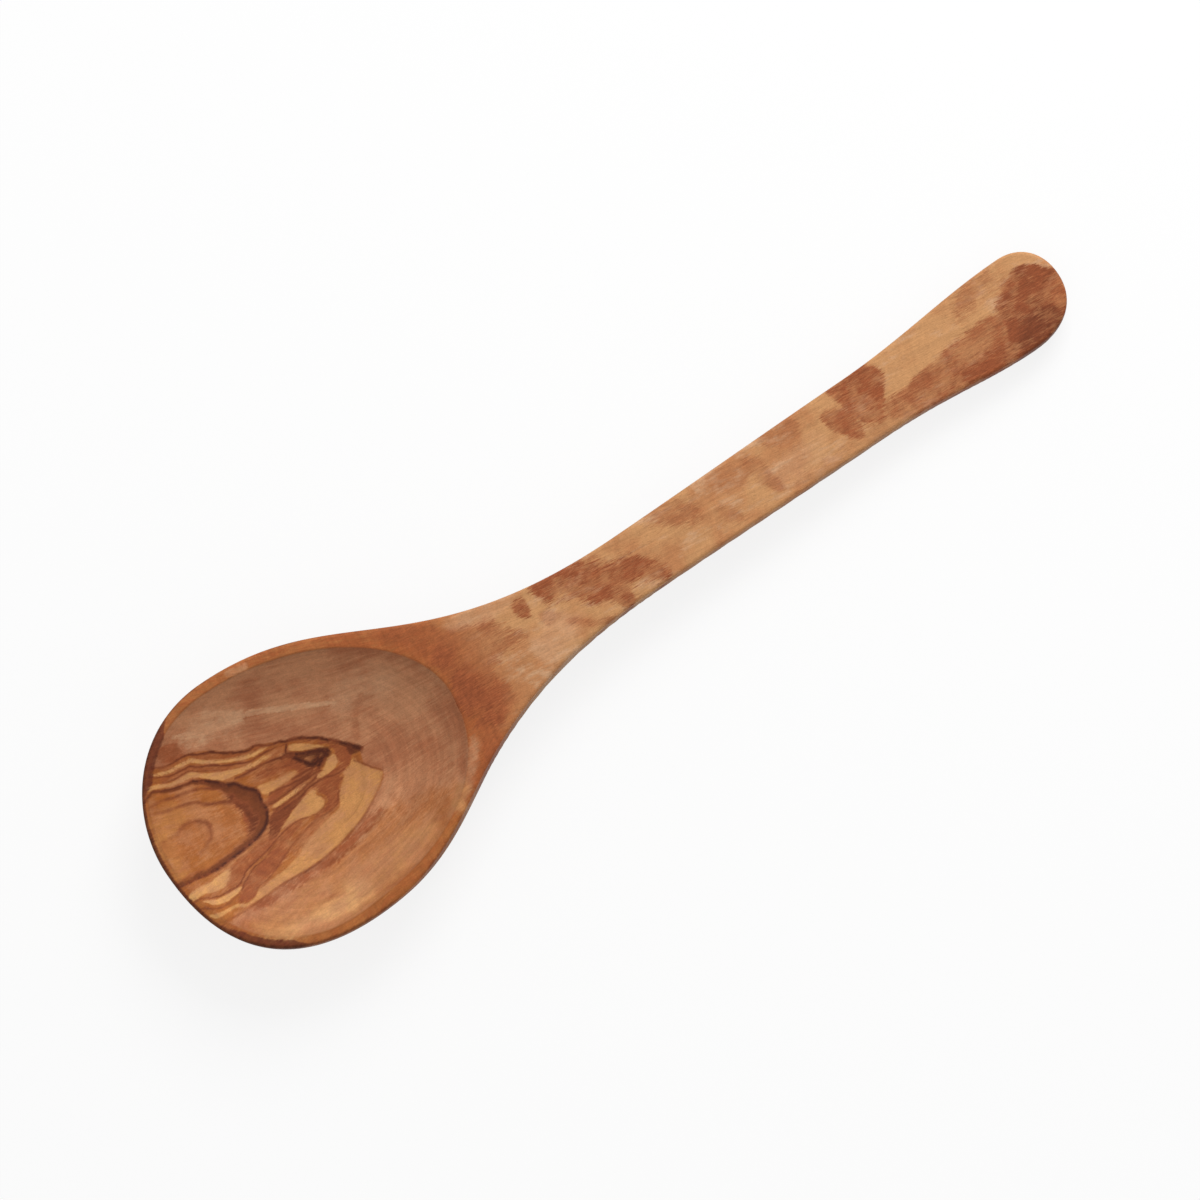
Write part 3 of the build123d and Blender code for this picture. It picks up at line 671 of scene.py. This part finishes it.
woodColours = {  # as seen in daylight
    "handleTan": (0.765, 0.56, 0.375),
    "handleRose": (0.72, 0.49, 0.32),
    "handlePale": (0.79, 0.61, 0.46),
    "bowlRose": (0.765, 0.545, 0.395),
    "bowlBrown": (0.67, 0.43, 0.30),
    "heartOrange": (0.62, 0.355, 0.165),
    "heartTan": (0.69, 0.43, 0.225),
    "rosyPale": (0.82, 0.635, 0.485),
    "pale": (0.84, 0.62, 0.385),
    "brown": (0.59, 0.32, 0.19),
    "ringBrown": (0.465, 0.25, 0.14),
    "deepBrown": (0.43, 0.22, 0.13),
    "lineBrown": (0.48, 0.25, 0.15),
    "lineDark": (0.29, 0.14, 0.10),
    "landOrange": (0.635, 0.352, 0.195),
    "landTan": (0.68, 0.42, 0.24),
    "stainDark": (0.40, 0.19, 0.13),
    "stainEdge": (0.27, 0.12, 0.08),
}
woodOnset = {  # of what drives it, where each colour starts to show and where it has taken over
    "handleRose": (0.42, 0.62),
    "handlePale": (0.5, 0.7),
    "landTan": (0.35, 0.7),
    "bowlRose": (0.38, 0.6),
    "heartTan": (0.36, 0.66),
    "deepBrown": (0.9, 1.6),
    "ringBrown": (0.2, 0.9),
    "lineDark": (0.7, 1.15),
    "lineBrown": (0.0, 0.2),
    "stainDark": (0.1, 1.2),
}
woodLevels = {  # where each starts and ends, and its value at both where that isn't 0 and 1
    "inHollow": (1.004, 0.992),
    "onLand": (1.0, 1.02),
    "uneven": (-0.25, 0.25, 0.55, 1.12),
    "patchy": (0.36, 0.56, 0.72, 1.05),
    "lineCore": (1.8, 0.0),
    "lineHalo": (1.1, 0.2),
    "lineSide": (-0.4, 0.2),
    "inkDepth": (0.0, 0.8),
    "stainDepth": (0.0, 0.7),
    "stainTorn": (-0.3, 0.1, 1.0, 0.75),
    # painted shade: a thin dark line along the hollow's rim
    "lipShadowLine": (0.016, 0.002),
    "lipShadowCloud": (0.35, 0.6, 0.3, 1.0),
    "paintedLipShadow": (0.0, 1.0, 1.0, 0.84),
    # painted shade on the side walls
    "paintedWallShade": (0.0, 1.0, 1.0, 0.7),
    "speckShade": (0.3, 0.7, 0.92, 1.07),
    "poreShade": (0.3, 0.42, 0.89, 1.0),
    "poreDepth": (0.3, 0.42, 0.0, 0.5),
    "roughness": (0.35, 0.65, 0.48, 0.64),
}
woodNoise = {  # scale, detail and roughness
    "sway": (0.05, 2, 0.5),
    "cloud": (0.055, 4, 0.55),
    "mottle": (0.5, 5, 0.6),
    "fineFibre": (2.4, 4, 0.65),
    "pores": (3.2, 2, 0.5),
    "streak": (1.0, 3, 0.5),
    "curl": (1.0, 4, 0.6),
    "wobble": (0.55, 3, 0.6),
    "tremble": (1.6, 4, 0.6),
    "feather": (0.7, 6, 0.74),
    "flake": (1.0, 5, 0.7),
    "unevenness": (0.16, 2, 0.5),
    "lobes": (0.16, 3, 0.55),
    "speck": (2.2, 3, 0.7),
    "drift": (0.1, 4, 0.6),
    "patchiness": (0.3, 3, 0.6),
    "toolMarks": (1.0, 3, 0.6),
    "wave": (0.09, 2, 0.4),
}
woodStretch = {  # how far a noise is drawn out along, across and up, and its turn in degrees
    "fibres": (14.0, 1, 1, 0),
    "pores": (5, 0.8, 0.8, -17),
    "streak": (16, 1.4, 1.4, 0),
    "curl": (1.2, 9, 4, -8),
    "feather": (3, 0.7, 0.7, 0),
    "flake": (2.6, 0.6, 0.6, 18),
}
woodGrain = {
    "bowlSlopes": (0.12, -0.42),  # of the fibres, at the bowl's near side and far side
    "slopeTurn": 14.0,
    "slopeChange": (78.0, 118.0),
    "handleSlope": -0.34,
    "layerTilt": 0.2,  # the layers of the wood stand almost upright
    "figureLean": (0.55, 0.2),  # how far the figure moves along and across per mm of depth
    "figureNarrowing": 0.008,
    "swaySize": 4.0,
    "neckBlend": (12, -10),  # the handle's colours give way to the land's, from the bowl's end
    "dryStart": 85.0,  # from here on, the neck's brown stops at the hollow's rim
    "wallStart": 1.2,  # how far down the side wall's own fibres begin
    "stainWidth": (0.25, 2.2),  # least width, and what a full stain adds
    "markPlaces": (-45, -15),  # where the hollow's tool marks grow stronger, from the bowl's middle
    "markStrength": (0.04, 0.1),
    "curlStrength": (0.04, 0.05),  # everywhere, and what the land adds
    "tearStrength": (0.05, 0.11),  # everywhere, and what brown wood adds
    "ringsPerRadius": 22.0,  # of the tool marks
    "specular": 0.1,
    "fibreRelief": 0.00004,
    "waveRelief": 0.00025,
}


# A smooth line through points: each span is a cubic whose slopes are half its neighbours' gap
def throughPoints(points, closed=False, samples=12):
    p = np.array(points, float)
    p = np.vstack((p[-1], p, p[:2])) if closed else np.vstack((2 * p[0] - p[1], p, 2 * p[-1] - p[-2]))
    t = np.linspace(0, 1, samples, endpoint=False)[:, None, None]
    a, b, c, d = p[:-3], p[1:-2], p[2:-1], p[3:]
    rows = b + t * (c - a) / 2 + t**2 * (a - 2.5 * b + 2 * c - d / 2) + t**3 * (1.5 * (b - c) + (d - a) / 2)
    return np.vstack((rows.transpose(1, 0, 2).reshape(-1, 2), p[-2]))


# Which of the points lie in the box of a line, made larger by a reach
def inReach(at, line, reach):
    return np.all((at > line.min(0) - reach) & (at < line.max(0) + reach), axis=1)


# One line of the figure at the points near it: distance to its left, half width and depth of
# colour, then the strength and width of its glow
def lineField(at, spec):
    f = figureSpread
    line = throughPoints(spec["points"])
    share = np.linspace(0, 1, len(line))
    reach = spec.get("reach", f["lineReach"])
    near = inReach(at, line, reach)
    index, far = nearestOnLoop(at[near], line)
    way = np.gradient(line, axis=0)[index]
    way /= np.linalg.norm(way, axis=1)[:, None]
    gap = at[near] - line[index]
    left = gap[:, 1] * way[:, 0] - gap[:, 0] * way[:, 1]

    def along(values):
        return np.interp(share, np.linspace(0, 1, len(values)), values)

    ends = np.clip(np.minimum(share, 1 - share) / f["endShare"], 0, 1)
    depth = (along(spec["depths"]) * ends)[index] * np.clip((reach - far) / f["lineFade"], 0, 1)
    halfWidth = along(spec["widths"])[index] / 2
    glowWidth = along(spec.get("glowWidths", (f["glowWidth"],)))[index]
    glow = np.full(len(depth), float(spec["glow"]))
    return near, np.stack((left, halfWidth, depth), 1), np.stack((glow, glowWidth), 1)


# Lines that keep clear of each other share one layer, so the material has few attributes
def lineLayers(lines):
    layers = []
    for spec in lines.values():
        line = throughPoints(spec["points"])
        reach = spec.get("reach", figureSpread["lineReach"])
        for layer in layers:
            if all(nearestOnLoop(line, other)[1].min() > figureSpread["clearance"] * (reach + otherReach)
                   for other, otherReach, _ in layer):
                layer.append((line, reach, spec))
                break
        else:
            layers.append([(line, reach, spec)])
    return [[spec for _, _, spec in layer] for layer in layers]


# Patches at each point: distance inside the nearest edge, depth of colour and softness. A later
# patch lies over the earlier ones
def patchField(at, patches):
    reach = figureSpread["patchReach"]
    inside = np.full(len(at), -reach)
    tone = np.zeros((len(at), 2))
    for patchDepth, patchSoft, points in patches:
        edge = throughPoints(points, closed=True)
        near = inReach(at, edge, reach)
        x, y = at[near, 0:1], at[near, 1:2]
        a, b = edge[:-1], edge[1:]
        above = (a[:, 1] > y) != (b[:, 1] > y)
        run = np.where(a[:, 1] == b[:, 1], 1.0, b[:, 1] - a[:, 1])
        crossings = above & (x < a[:, 0] + (y - a[:, 1]) * (b[:, 0] - a[:, 0]) / run)
        sign = np.where(crossings.sum(1) % 2 == 1, 1.0, -1.0)
        distance = np.maximum(sign * nearestOnLoop(at[near], edge)[1], -reach)
        cover = np.clip(distance / patchSoft + 1, 0, 1)
        cover[(distance > inside[near]) & (inside[near] < 0)] = 1
        tone[near] += cover[:, None] * ((patchDepth, patchSoft) - tone[near])
        inside[near] = np.maximum(inside[near], distance)
    softness = np.maximum(tone[:, 1], figureSpread["leastSoftness"])
    return np.column_stack((inside, tone[:, 0], softness))


# Places for the grain: along the spoon, across the fibres, and up. The fibres' slope turns with the
# place across the bowl and settles to one slope on the handle, and it is summed along the spoon
def grainFlow(at, z):
    g = woodGrain
    low, high = g["bowlSlopes"]
    start, end = g["slopeChange"]
    bowlSlope = (low + high) / 2 + (high - low) / 2 * np.tanh(at[:, 1] / g["slopeTurn"])
    t = np.clip((at[:, 0] - start) / (end - start), 0, 1)
    onHandle = (end - start) * (t**3 - t**4 / 2) + np.maximum(at[:, 0] - end, 0)
    across = at[:, 1] - bowlSlope * (at[:, 0] - onHandle) - g["handleSlope"] * onHandle
    return np.stack((at[:, 0], across, g["layerTilt"] * z), 1)


# The stains' depth of colour: each fades at both its ends, towards the middle and down the wall
def stainField(x, y, down):
    along, across, deep = figureSpread["stainFade"]
    middle = figureSpread["stainMiddle"]
    stain = np.zeros(len(x))
    for start, end, side, amount in rimStains:
        window = np.clip((x - start) / along + 0.5, 0, 1) * np.clip((end - x) / along + 0.5, 0, 1)
        stain += amount * window * np.clip(side * (y - middle) / across + 0.5, 0, 1)
    return stain * np.clip(1 - down / deep, 0, 1)


# Every field that the material reads, at each point of the mesh. In the hollow, the figure is drawn
# where the camera sees it. Outside it, the figure runs down through the wood and leans a little
def writeWoodFields(piece):
    g = woodGrain
    mesh = piece.data
    points = np.empty(len(mesh.vertices) * 3)
    mesh.vertices.foreach_get("co", points)
    x, y, z = (points.reshape(-1, 3) / mm).T
    share = rimShareAt(x, y)
    depth = deckHeight(x) - z
    hollow = np.abs(depth - hollowDepth(share)) < 0.2
    down = np.where(hollow, 0, np.maximum(depth, 0))
    sunk = np.where(hollow, depth, 0)
    atX = x * (1 - sunk * mm / cameraPlace["distance"]) - tipX + g["figureLean"][0] * down
    atY = y * (1 - g["figureNarrowing"] * down) + g["figureLean"][1] * down
    at = np.stack((atX, atY - math.tan(cameraPlace["lean"]) * sunk), 1)
    wall = np.where(hollow, 0, np.clip(depth - g["wallStart"], 0, 1))
    fields = {
        "flow": grainFlow(at, z),
        "wall": np.stack((wall, wall, wall), 1),
        "rim": np.stack((np.where(hollow, share, 1.5), outlineGap(x, y, 3), stainField(atX, y, down)), 1),
        "heart": patchField(at, heartPatches),
        "pale": patchField(at, paleAndHighlightPatches),
        "brown": patchField(at, brownPatches),
        "dark": patchField(at, darkPatches),
    }
    dry = hollow & (share < 0.99) & (atX > g["dryStart"])
    fields["brown"][dry, 0] = -figureSpread["patchReach"]
    layers = lineLayers(figureLines)
    for index, layer in enumerate(layers):
        field = np.zeros((len(x), 3))
        field[:, :2] = figureSpread["farAway"], figureSpread["leastSoftness"]
        glow = np.zeros((len(x), 3))
        for spec in layer:
            near, values, shine = lineField(at, spec)
            seen = values[:, 2] > 0
            rows = np.flatnonzero(near)[seen]
            field[rows] = values[seen]
            glow[rows, :2] = shine[seen]
        fields["line%d" % index] = field
        fields["glow%d" % index] = glow
    for name, values in fields.items():
        attribute = mesh.attributes.new(name, "FLOAT_VECTOR", "POINT")
        attribute.data.foreach_set("vector", values.astype(np.float32).ravel())
    print("wood fields written:", len(fields), "with", len(layers), "layers of lines")
    return len(layers)


lineLayerCount = writeWoodFields(spoon)


# A colour as seen in daylight, turned into the linear values that a shader takes
def daylight(name):
    c = np.array(woodColours[name])
    linear = np.where(c <= 0.04045, c / 12.92, ((c + 0.055) / 1.055) ** 2.4)
    return (*map(float, linear), 1.0)


def makeWood():
    g = woodGrain
    material = bpy.data.materials.new("oliveWood")
    material.use_nodes = True
    nodes, links = material.node_tree.nodes, material.node_tree.links
    shader = nodes["Principled BSDF"]

    # A socket takes either another node's output or a plain value
    def put(socket, value):
        if isinstance(value, bpy.types.NodeSocket):
            links.new(value, socket)
        else:
            socket.default_value = value

    def maths(operation, *values, clamp=False):
        node = nodes.new("ShaderNodeMath")
        node.operation = operation
        node.use_clamp = clamp
        for socket, value in zip(node.inputs, values):
            put(socket, value)
        return node.outputs[0]

    def add(a, b):
        return maths("ADD", a, b)

    def subtract(a, b, **options):
        return maths("SUBTRACT", a, b, **options)

    def multiply(a, b, **options):
        return maths("MULTIPLY", a, b, **options)

    def multiplyAdd(a, b, c):
        return maths("MULTIPLY_ADD", a, b, c)

    def ramp(value, low, high, start=0.0, end=1.0):
        node = nodes.new("ShaderNodeMapRange")
        node.interpolation_type = "SMOOTHSTEP"
        for name, amount in (("Value", value), ("From Min", low), ("From Max", high), ("To Min", start),
                             ("To Max", end)):
            put(node.inputs[name], amount)
        return node.outputs["Result"]

    def level(name, value):
        return ramp(value, *woodLevels[name])

    def noise(name, vector, output="Fac"):
        node = nodes.new("ShaderNodeTexNoise")
        links.new(vector, node.inputs["Vector"])
        for socket, amount in zip(("Scale", "Detail", "Roughness"), woodNoise[name]):
            node.inputs[socket].default_value = amount
        return node.outputs[output]

    def centred(name, vector):
        return subtract(noise(name, vector), 0.5)

    def blend(share, under, over, mode="MIX"):
        node = nodes.new("ShaderNodeMix")
        node.data_type = "RGBA"
        node.blend_type = mode
        put(node.inputs[0], share)
        put(node.inputs[6], under)
        put(node.inputs[7], over)
        return node.outputs[2]

    def tinted(under, name, value):
        return blend(ramp(value, *woodOnset[name]), under, daylight(name))

    def vectorField(name):
        node = nodes.new("ShaderNodeAttribute")
        node.attribute_name = name
        return node.outputs["Vector"]

    def partsOf(vector):
        node = nodes.new("ShaderNodeSeparateXYZ")
        links.new(vector, node.inputs[0])
        return node.outputs

    def mapped(vector, scale, turn=0.0):
        node = nodes.new("ShaderNodeMapping")
        node.vector_type = "TEXTURE"
        links.new(vector, node.inputs["Vector"])
        node.inputs["Rotation"].default_value = (0, 0, math.radians(turn))
        node.inputs["Scale"].default_value = scale
        return node.outputs[0]

    def stretched(name, vector):
        *scale, turn = woodStretch[name]
        return mapped(vector, scale, turn)

    # Places in mm, and the same places along and across the fibres
    place = mapped(nodes.new("ShaderNodeTexCoord").outputs["Object"], (mm, mm, mm))
    placeX, placeY, _ = partsOf(place)
    sway = nodes.new("ShaderNodeVectorMath")
    sway.operation = "MULTIPLY_ADD"
    links.new(noise("sway", place, "Color"), sway.inputs[0])
    sway.inputs[1].default_value = (g["swaySize"],) * 3
    links.new(vectorField("flow"), sway.inputs[2])
    swayed = sway.outputs[0]
    fibres = stretched("fibres", swayed)
    straight = stretched("fibres", place)
    onWall = partsOf(vectorField("wall"))[0]
    rimShare, edgeGap, stain = partsOf(vectorField("rim"))
    inHollow = level("inHollow", rimShare)
    nearBowl = ramp(placeX, *(neckX + offset for offset in g["neckBlend"]))

    # The walls cut the fibres lengthwise, so there they run straight along the spoon
    def fibreNoise(name):
        turned = noise(name, fibres)
        return multiplyAdd(onWall, subtract(noise(name, straight), turned), turned)

    mottle = fibreNoise("mottle")
    fineFibre = fibreNoise("fineFibre")
    cloud = noise("cloud", place)
    pores = noise("pores", stretched("pores", place))
    streak = noise("streak", stretched("streak", swayed))
    curl = noise("curl", stretched("curl", swayed))
    speck = noise("speck", place)
    wobble = centred("wobble", place)
    tremble = centred("tremble", fibres)
    feather = centred("feather", stretched("feather", swayed))
    flake = centred("flake", stretched("flake", swayed))
    lobes = centred("lobes", place)
    torn = multiplyAdd(flake, 0.6, feather)
    uneven = multiplyAdd(noise("unevenness", place), 1.2, add(torn, -0.6))
    uneven = level("uneven", uneven)
    patchy = level("patchy", noise("patchiness", place))

    # Ground colours: tan handle with rosy clouds, rosy brown hollow, orange land round the bowl
    drift = multiplyAdd(flake, 0.25, noise("drift", swayed))
    handle = tinted(tinted(daylight("handleTan"), "handleRose", cloud), "handlePale", drift)
    land = tinted(daylight("landOrange"), "landTan", multiplyAdd(torn, 1.2, cloud))
    bowl = tinted(daylight("bowlBrown"), "bowlRose", multiplyAdd(streak, 0.25, multiply(cloud, 0.75)))
    colour = blend(inHollow, blend(nearBowl, handle, land), bowl)

    # A patch's edge wanders with the fibres and in lobes, the further the softer the patch is
    def patch(name, wander):
        inside, depth, soft = partsOf(vectorField(name))
        shift = multiplyAdd(torn, multiply(soft, wander), multiply(wobble, 0.8))
        shift = multiplyAdd(lobes, multiply(subtract(soft, 0.8, clamp=True), 7.0), shift)
        cover = ramp(add(inside, shift), multiply(soft, -0.7), multiply(soft, 0.7))
        return multiply(cover, multiply(depth, uneven), clamp=True)

    heart = patch("heart", 0.6)
    heartTone = multiplyAdd(streak, 0.4, multiply(cloud, 0.6))
    colour = blend(heart, colour, tinted(daylight("heartOrange"), "heartTan", heartTone))
    # Pale patches: paler wood, and painted highlight on the bowl's lower wall
    colour = blend(patch("pale", 1.2), colour, blend(heart, daylight("rosyPale"), daylight("pale")))
    brownWood = patch("brown", 3.6)
    deep = add(partsOf(vectorField("brown"))[1], multiply(feather, 0.8))
    colour = blend(brownWood, colour, tinted(daylight("brown"), "deepBrown", deep))

    # Each line has a dark core, a faint halo on both sides and its glow on one
    for index in range(lineLayerCount):
        distance, halfWidth, depth = partsOf(vectorField("line%d" % index))
        glow, glowWidth, _ = partsOf(vectorField("glow%d" % index))
        moved = add(distance, multiplyAdd(wobble, 0.7, multiply(tremble, 0.7)))
        away = maths("ABSOLUTE", moved)
        core = level("lineCore", maths("DIVIDE", away, halfWidth))
        depth = multiply(depth, patchy)
        toSide = multiply(moved, maths("SIGN", glow))
        toSide = multiplyAdd(torn, multiply(glowWidth, 0.5), toSide)
        halo = multiply(ramp(toSide, glowWidth, multiply(glowWidth, 0.15)), level("lineSide", toSide))
        halo = multiply(multiply(halo, depth), maths("ABSOLUTE", glow), clamp=True)
        halo = maths("MAXIMUM", halo, multiply(level("lineHalo", away), multiply(depth, 0.5)))
        colour = blend(halo, colour, tinted(daylight("brown"), "ringBrown", halo))
        ink = tinted(daylight("lineBrown"), "lineDark", depth)
        colour = blend(multiply(core, level("inkDepth", depth), clamp=True), colour, ink)
    colour = blend(patch("dark", 2.0), colour, tinted(daylight("lineDark"), "lineBrown", flake))

    # Stains on the land and the wall, darkest along the outer edge
    stainReach = multiplyAdd(multiply(stain, stain), g["stainWidth"][1], g["stainWidth"][0])
    ragged = add(torn, edgeGap)
    stained = ramp(ragged, add(stainReach, 0.3), add(stainReach, -0.3))
    stained = multiply(stained, multiply(level("stainDepth", stain), level("stainTorn", torn)), clamp=True)
    colour = blend(stained, colour, tinted(daylight("stainEdge"), "stainDark", ragged))

    # Marks, fibres, pores and curl darken or lighten what lies under them by a few hundredths;
    # painted shade darkens a thin line along the hollow's rim and the side walls by more
    def shade(colour, amount):
        tint = nodes.new("ShaderNodeCombineColor")
        for socket in tint.inputs:
            links.new(amount, socket)
        return blend(1.0, colour, tint.outputs[0], "MULTIPLY")

    def scaled(value, settings):
        least, added = settings
        return multiplyAdd(value, added, least)

    def shadeBoth(colour, value, strength, low=0.3, high=0.7):
        return shade(colour, ramp(value, low, high, subtract(1.0, strength), add(1.0, strength)))

    rings = nodes.new("ShaderNodeCombineXYZ")  # round the hollow, and a little unsteady
    links.new(multiply(rimShare, g["ringsPerRadius"]), rings.inputs[0])
    links.new(multiply(cloud, 2.0), rings.inputs[1])
    nearSide = multiplyAdd(placeX, 0.5, multiply(placeY, -1.0))
    marks = ramp(nearSide, *(neckX / 2 + offset for offset in g["markPlaces"]), *g["markStrength"])
    colour = shadeBoth(colour, noise("toolMarks", rings.outputs[0]), multiply(marks, inHollow))
    # Painted shade: a thin dark line along the hollow's rim, where the steep wall falls into shade
    lipShadowLine = level("lipShadowLine", maths("ABSOLUTE", subtract(rimShare, 1.0)))
    colour = shade(colour, level("paintedLipShadow", multiply(lipShadowLine, level("lipShadowCloud", cloud))))
    # Painted shade: the side walls are darkened as if turned away from the light
    colour = shade(colour, level("paintedWallShade", onWall))
    fibreShades = ((mottle, (0.92, 0.03), (1.07, -0.03)), (fineFibre, (0.93, 0.02), (1.06, -0.02)))
    for fibre, dark, light in fibreShades:
        colour = shade(colour, ramp(fibre, 0.3, 0.7, scaled(inHollow, dark), scaled(inHollow, light)))
    onLand = multiply(nearBowl, level("onLand", rimShare))
    colour = shadeBoth(colour, curl, scaled(onLand, g["curlStrength"]))
    colour = shade(colour, level("speckShade", speck))
    dryBrown = multiply(multiply(subtract(1.0, inHollow), subtract(1.0, onWall)), brownWood)
    colour = shadeBoth(colour, flake, scaled(dryBrown, g["tearStrength"]), 0.14, -0.14)
    colour = shade(colour, level("poreShade", pores))
    links.new(colour, shader.inputs["Base Color"])

    satin = level("roughness", multiplyAdd(fineFibre, 0.6, multiply(cloud, 0.4)))
    links.new(satin, shader.inputs["Roughness"])
    shader.inputs["Specular IOR Level"].default_value = g["specular"]

    def bump(height, distance):
        node = nodes.new("ShaderNodeBump")
        node.inputs["Strength"].default_value = 1.0
        node.inputs["Distance"].default_value = distance
        links.new(height, node.inputs["Height"])
        return node

    wave = bump(noise("wave", place), g["waveRelief"])
    relief = bump(add(fineFibre, level("poreDepth", pores)), g["fibreRelief"])
    links.new(wave.outputs[0], relief.inputs["Normal"])
    links.new(relief.outputs[0], shader.inputs["Normal"])
    return material


spoon.data.materials.append(makeWood())
print("wood finish made")

studio = {
    "floorReach": 6.0,
    "floorColour": (0.9, 0.9, 0.9, 1),
    "shadowShare": 0.16,  # how much of the floor's own light and shadow the camera sees
    "worldStrength": 0.46,
    "keyPower": 16.5,
    "keySize": 0.8,
    "keyPlace": (0.82, 0.66, 0.95),
    "fillPower": 0.6,
    "fillSize": 1.2,
    "fillPlace": (-0.5, -0.7, 1.2),
    "sensorWidth": 36.0,
}


# Puts a camera or lamp in the scene, with its right, its top and its back turned the given ways
def placeInScene(name, data, right, up, back, place):
    item = bpy.data.objects.new(name, data)
    bpy.context.scene.collection.objects.link(item)
    turn = np.eye(4)
    turn[:3] = np.stack((right, up, back, place), 1)
    item.matrix_world = Matrix(turn.tolist())
    return item


def makeCamera():
    c = cameraPlace
    data = bpy.data.cameras.new("studioCamera")
    data.sensor_width = studio["sensorWidth"]
    data.lens = data.sensor_width * c["distance"] / c["frameWidth"]
    sine, cosine = math.sin(c["spoonAngle"]), math.cos(c["spoonAngle"])
    along = np.array((1, 0, 0))
    level = np.array((0, math.cos(c["lean"]), math.sin(c["lean"])))
    back = np.array((0, -math.sin(c["lean"]), math.cos(c["lean"])))
    place = np.array(c["aim"]) + c["distance"] * back
    bpy.context.scene.camera = placeInScene("studioCamera", data, cosine * along - sine * level,
                                            sine * along + cosine * level, back, place)


# 1 for the rays that see the white background: the camera's, and mirrored and refracted ones
def backdropRays(nodes, links):
    path = nodes.new("ShaderNodeLightPath")
    total = path.outputs["Is Camera Ray"]
    for name in ("Is Glossy Ray", "Is Transmission Ray"):
        either = nodes.new("ShaderNodeMath")
        either.operation = "MAXIMUM"
        links.new(total, either.inputs[0])
        links.new(path.outputs[name], either.inputs[1])
        total = either.outputs[0]
    return total


def makeFloor():
    reach = studio["floorReach"]
    mesh = bpy.data.meshes.new("floor")
    mesh.from_pydata([(-reach, -reach, 0), (reach, -reach, 0), (reach, reach, 0), (-reach, reach, 0)],
                     [], [(0, 1, 2, 3)])
    floor = bpy.data.objects.new("floor", mesh)
    bpy.context.scene.collection.objects.link(floor)
    material = bpy.data.materials.new("paleFloor")
    material.use_nodes = True
    nodes, links = material.node_tree.nodes, material.node_tree.links
    nodes.clear()
    out = nodes.new("ShaderNodeOutputMaterial")
    matt = nodes.new("ShaderNodeBsdfDiffuse")
    matt.inputs["Color"].default_value = studio["floorColour"]
    white = nodes.new("ShaderNodeEmission")
    seen = nodes.new("ShaderNodeMixShader")
    seen.inputs["Fac"].default_value = studio["shadowShare"]
    pick = nodes.new("ShaderNodeMixShader")
    links.new(white.outputs[0], seen.inputs[1])
    links.new(matt.outputs[0], seen.inputs[2])
    links.new(backdropRays(nodes, links), pick.inputs["Fac"])
    links.new(matt.outputs[0], pick.inputs[1])
    links.new(seen.outputs[0], pick.inputs[2])
    links.new(pick.outputs[0], out.inputs["Surface"])
    mesh.materials.append(material)


def makeWorld():
    world = bpy.data.worlds.new("studioWorld")
    bpy.context.scene.world = world
    world.use_nodes = True
    nodes, links = world.node_tree.nodes, world.node_tree.links
    nodes.clear()
    out = nodes.new("ShaderNodeOutputWorld")
    soft = nodes.new("ShaderNodeBackground")
    soft.inputs["Strength"].default_value = studio["worldStrength"]
    white = nodes.new("ShaderNodeBackground")
    pick = nodes.new("ShaderNodeMixShader")
    links.new(backdropRays(nodes, links), pick.inputs["Fac"])
    for background, socket in ((soft, pick.inputs[1]), (white, pick.inputs[2])):
        background.inputs["Color"].default_value = (1, 1, 1, 1)
        links.new(background.outputs[0], socket)
    links.new(pick.outputs[0], out.inputs["Surface"])


# A square soft box that faces the spoon
def makeSoftBox(name):
    data = bpy.data.lights.new(name + "Light", "AREA")
    data.size = studio[name + "Size"]
    data.energy = studio[name + "Power"]
    back = np.array(studio[name + "Place"], float)
    back /= np.linalg.norm(back)
    right = np.cross((0, 0, 1), back)
    right /= np.linalg.norm(right)
    placeInScene(name + "Light", data, right, np.cross(back, right), back, studio[name + "Place"])


makeCamera()
makeFloor()
makeWorld()
makeSoftBox("key")
makeSoftBox("fill")
bpy.context.scene.view_settings.view_transform = "Standard"
print("studio set up")
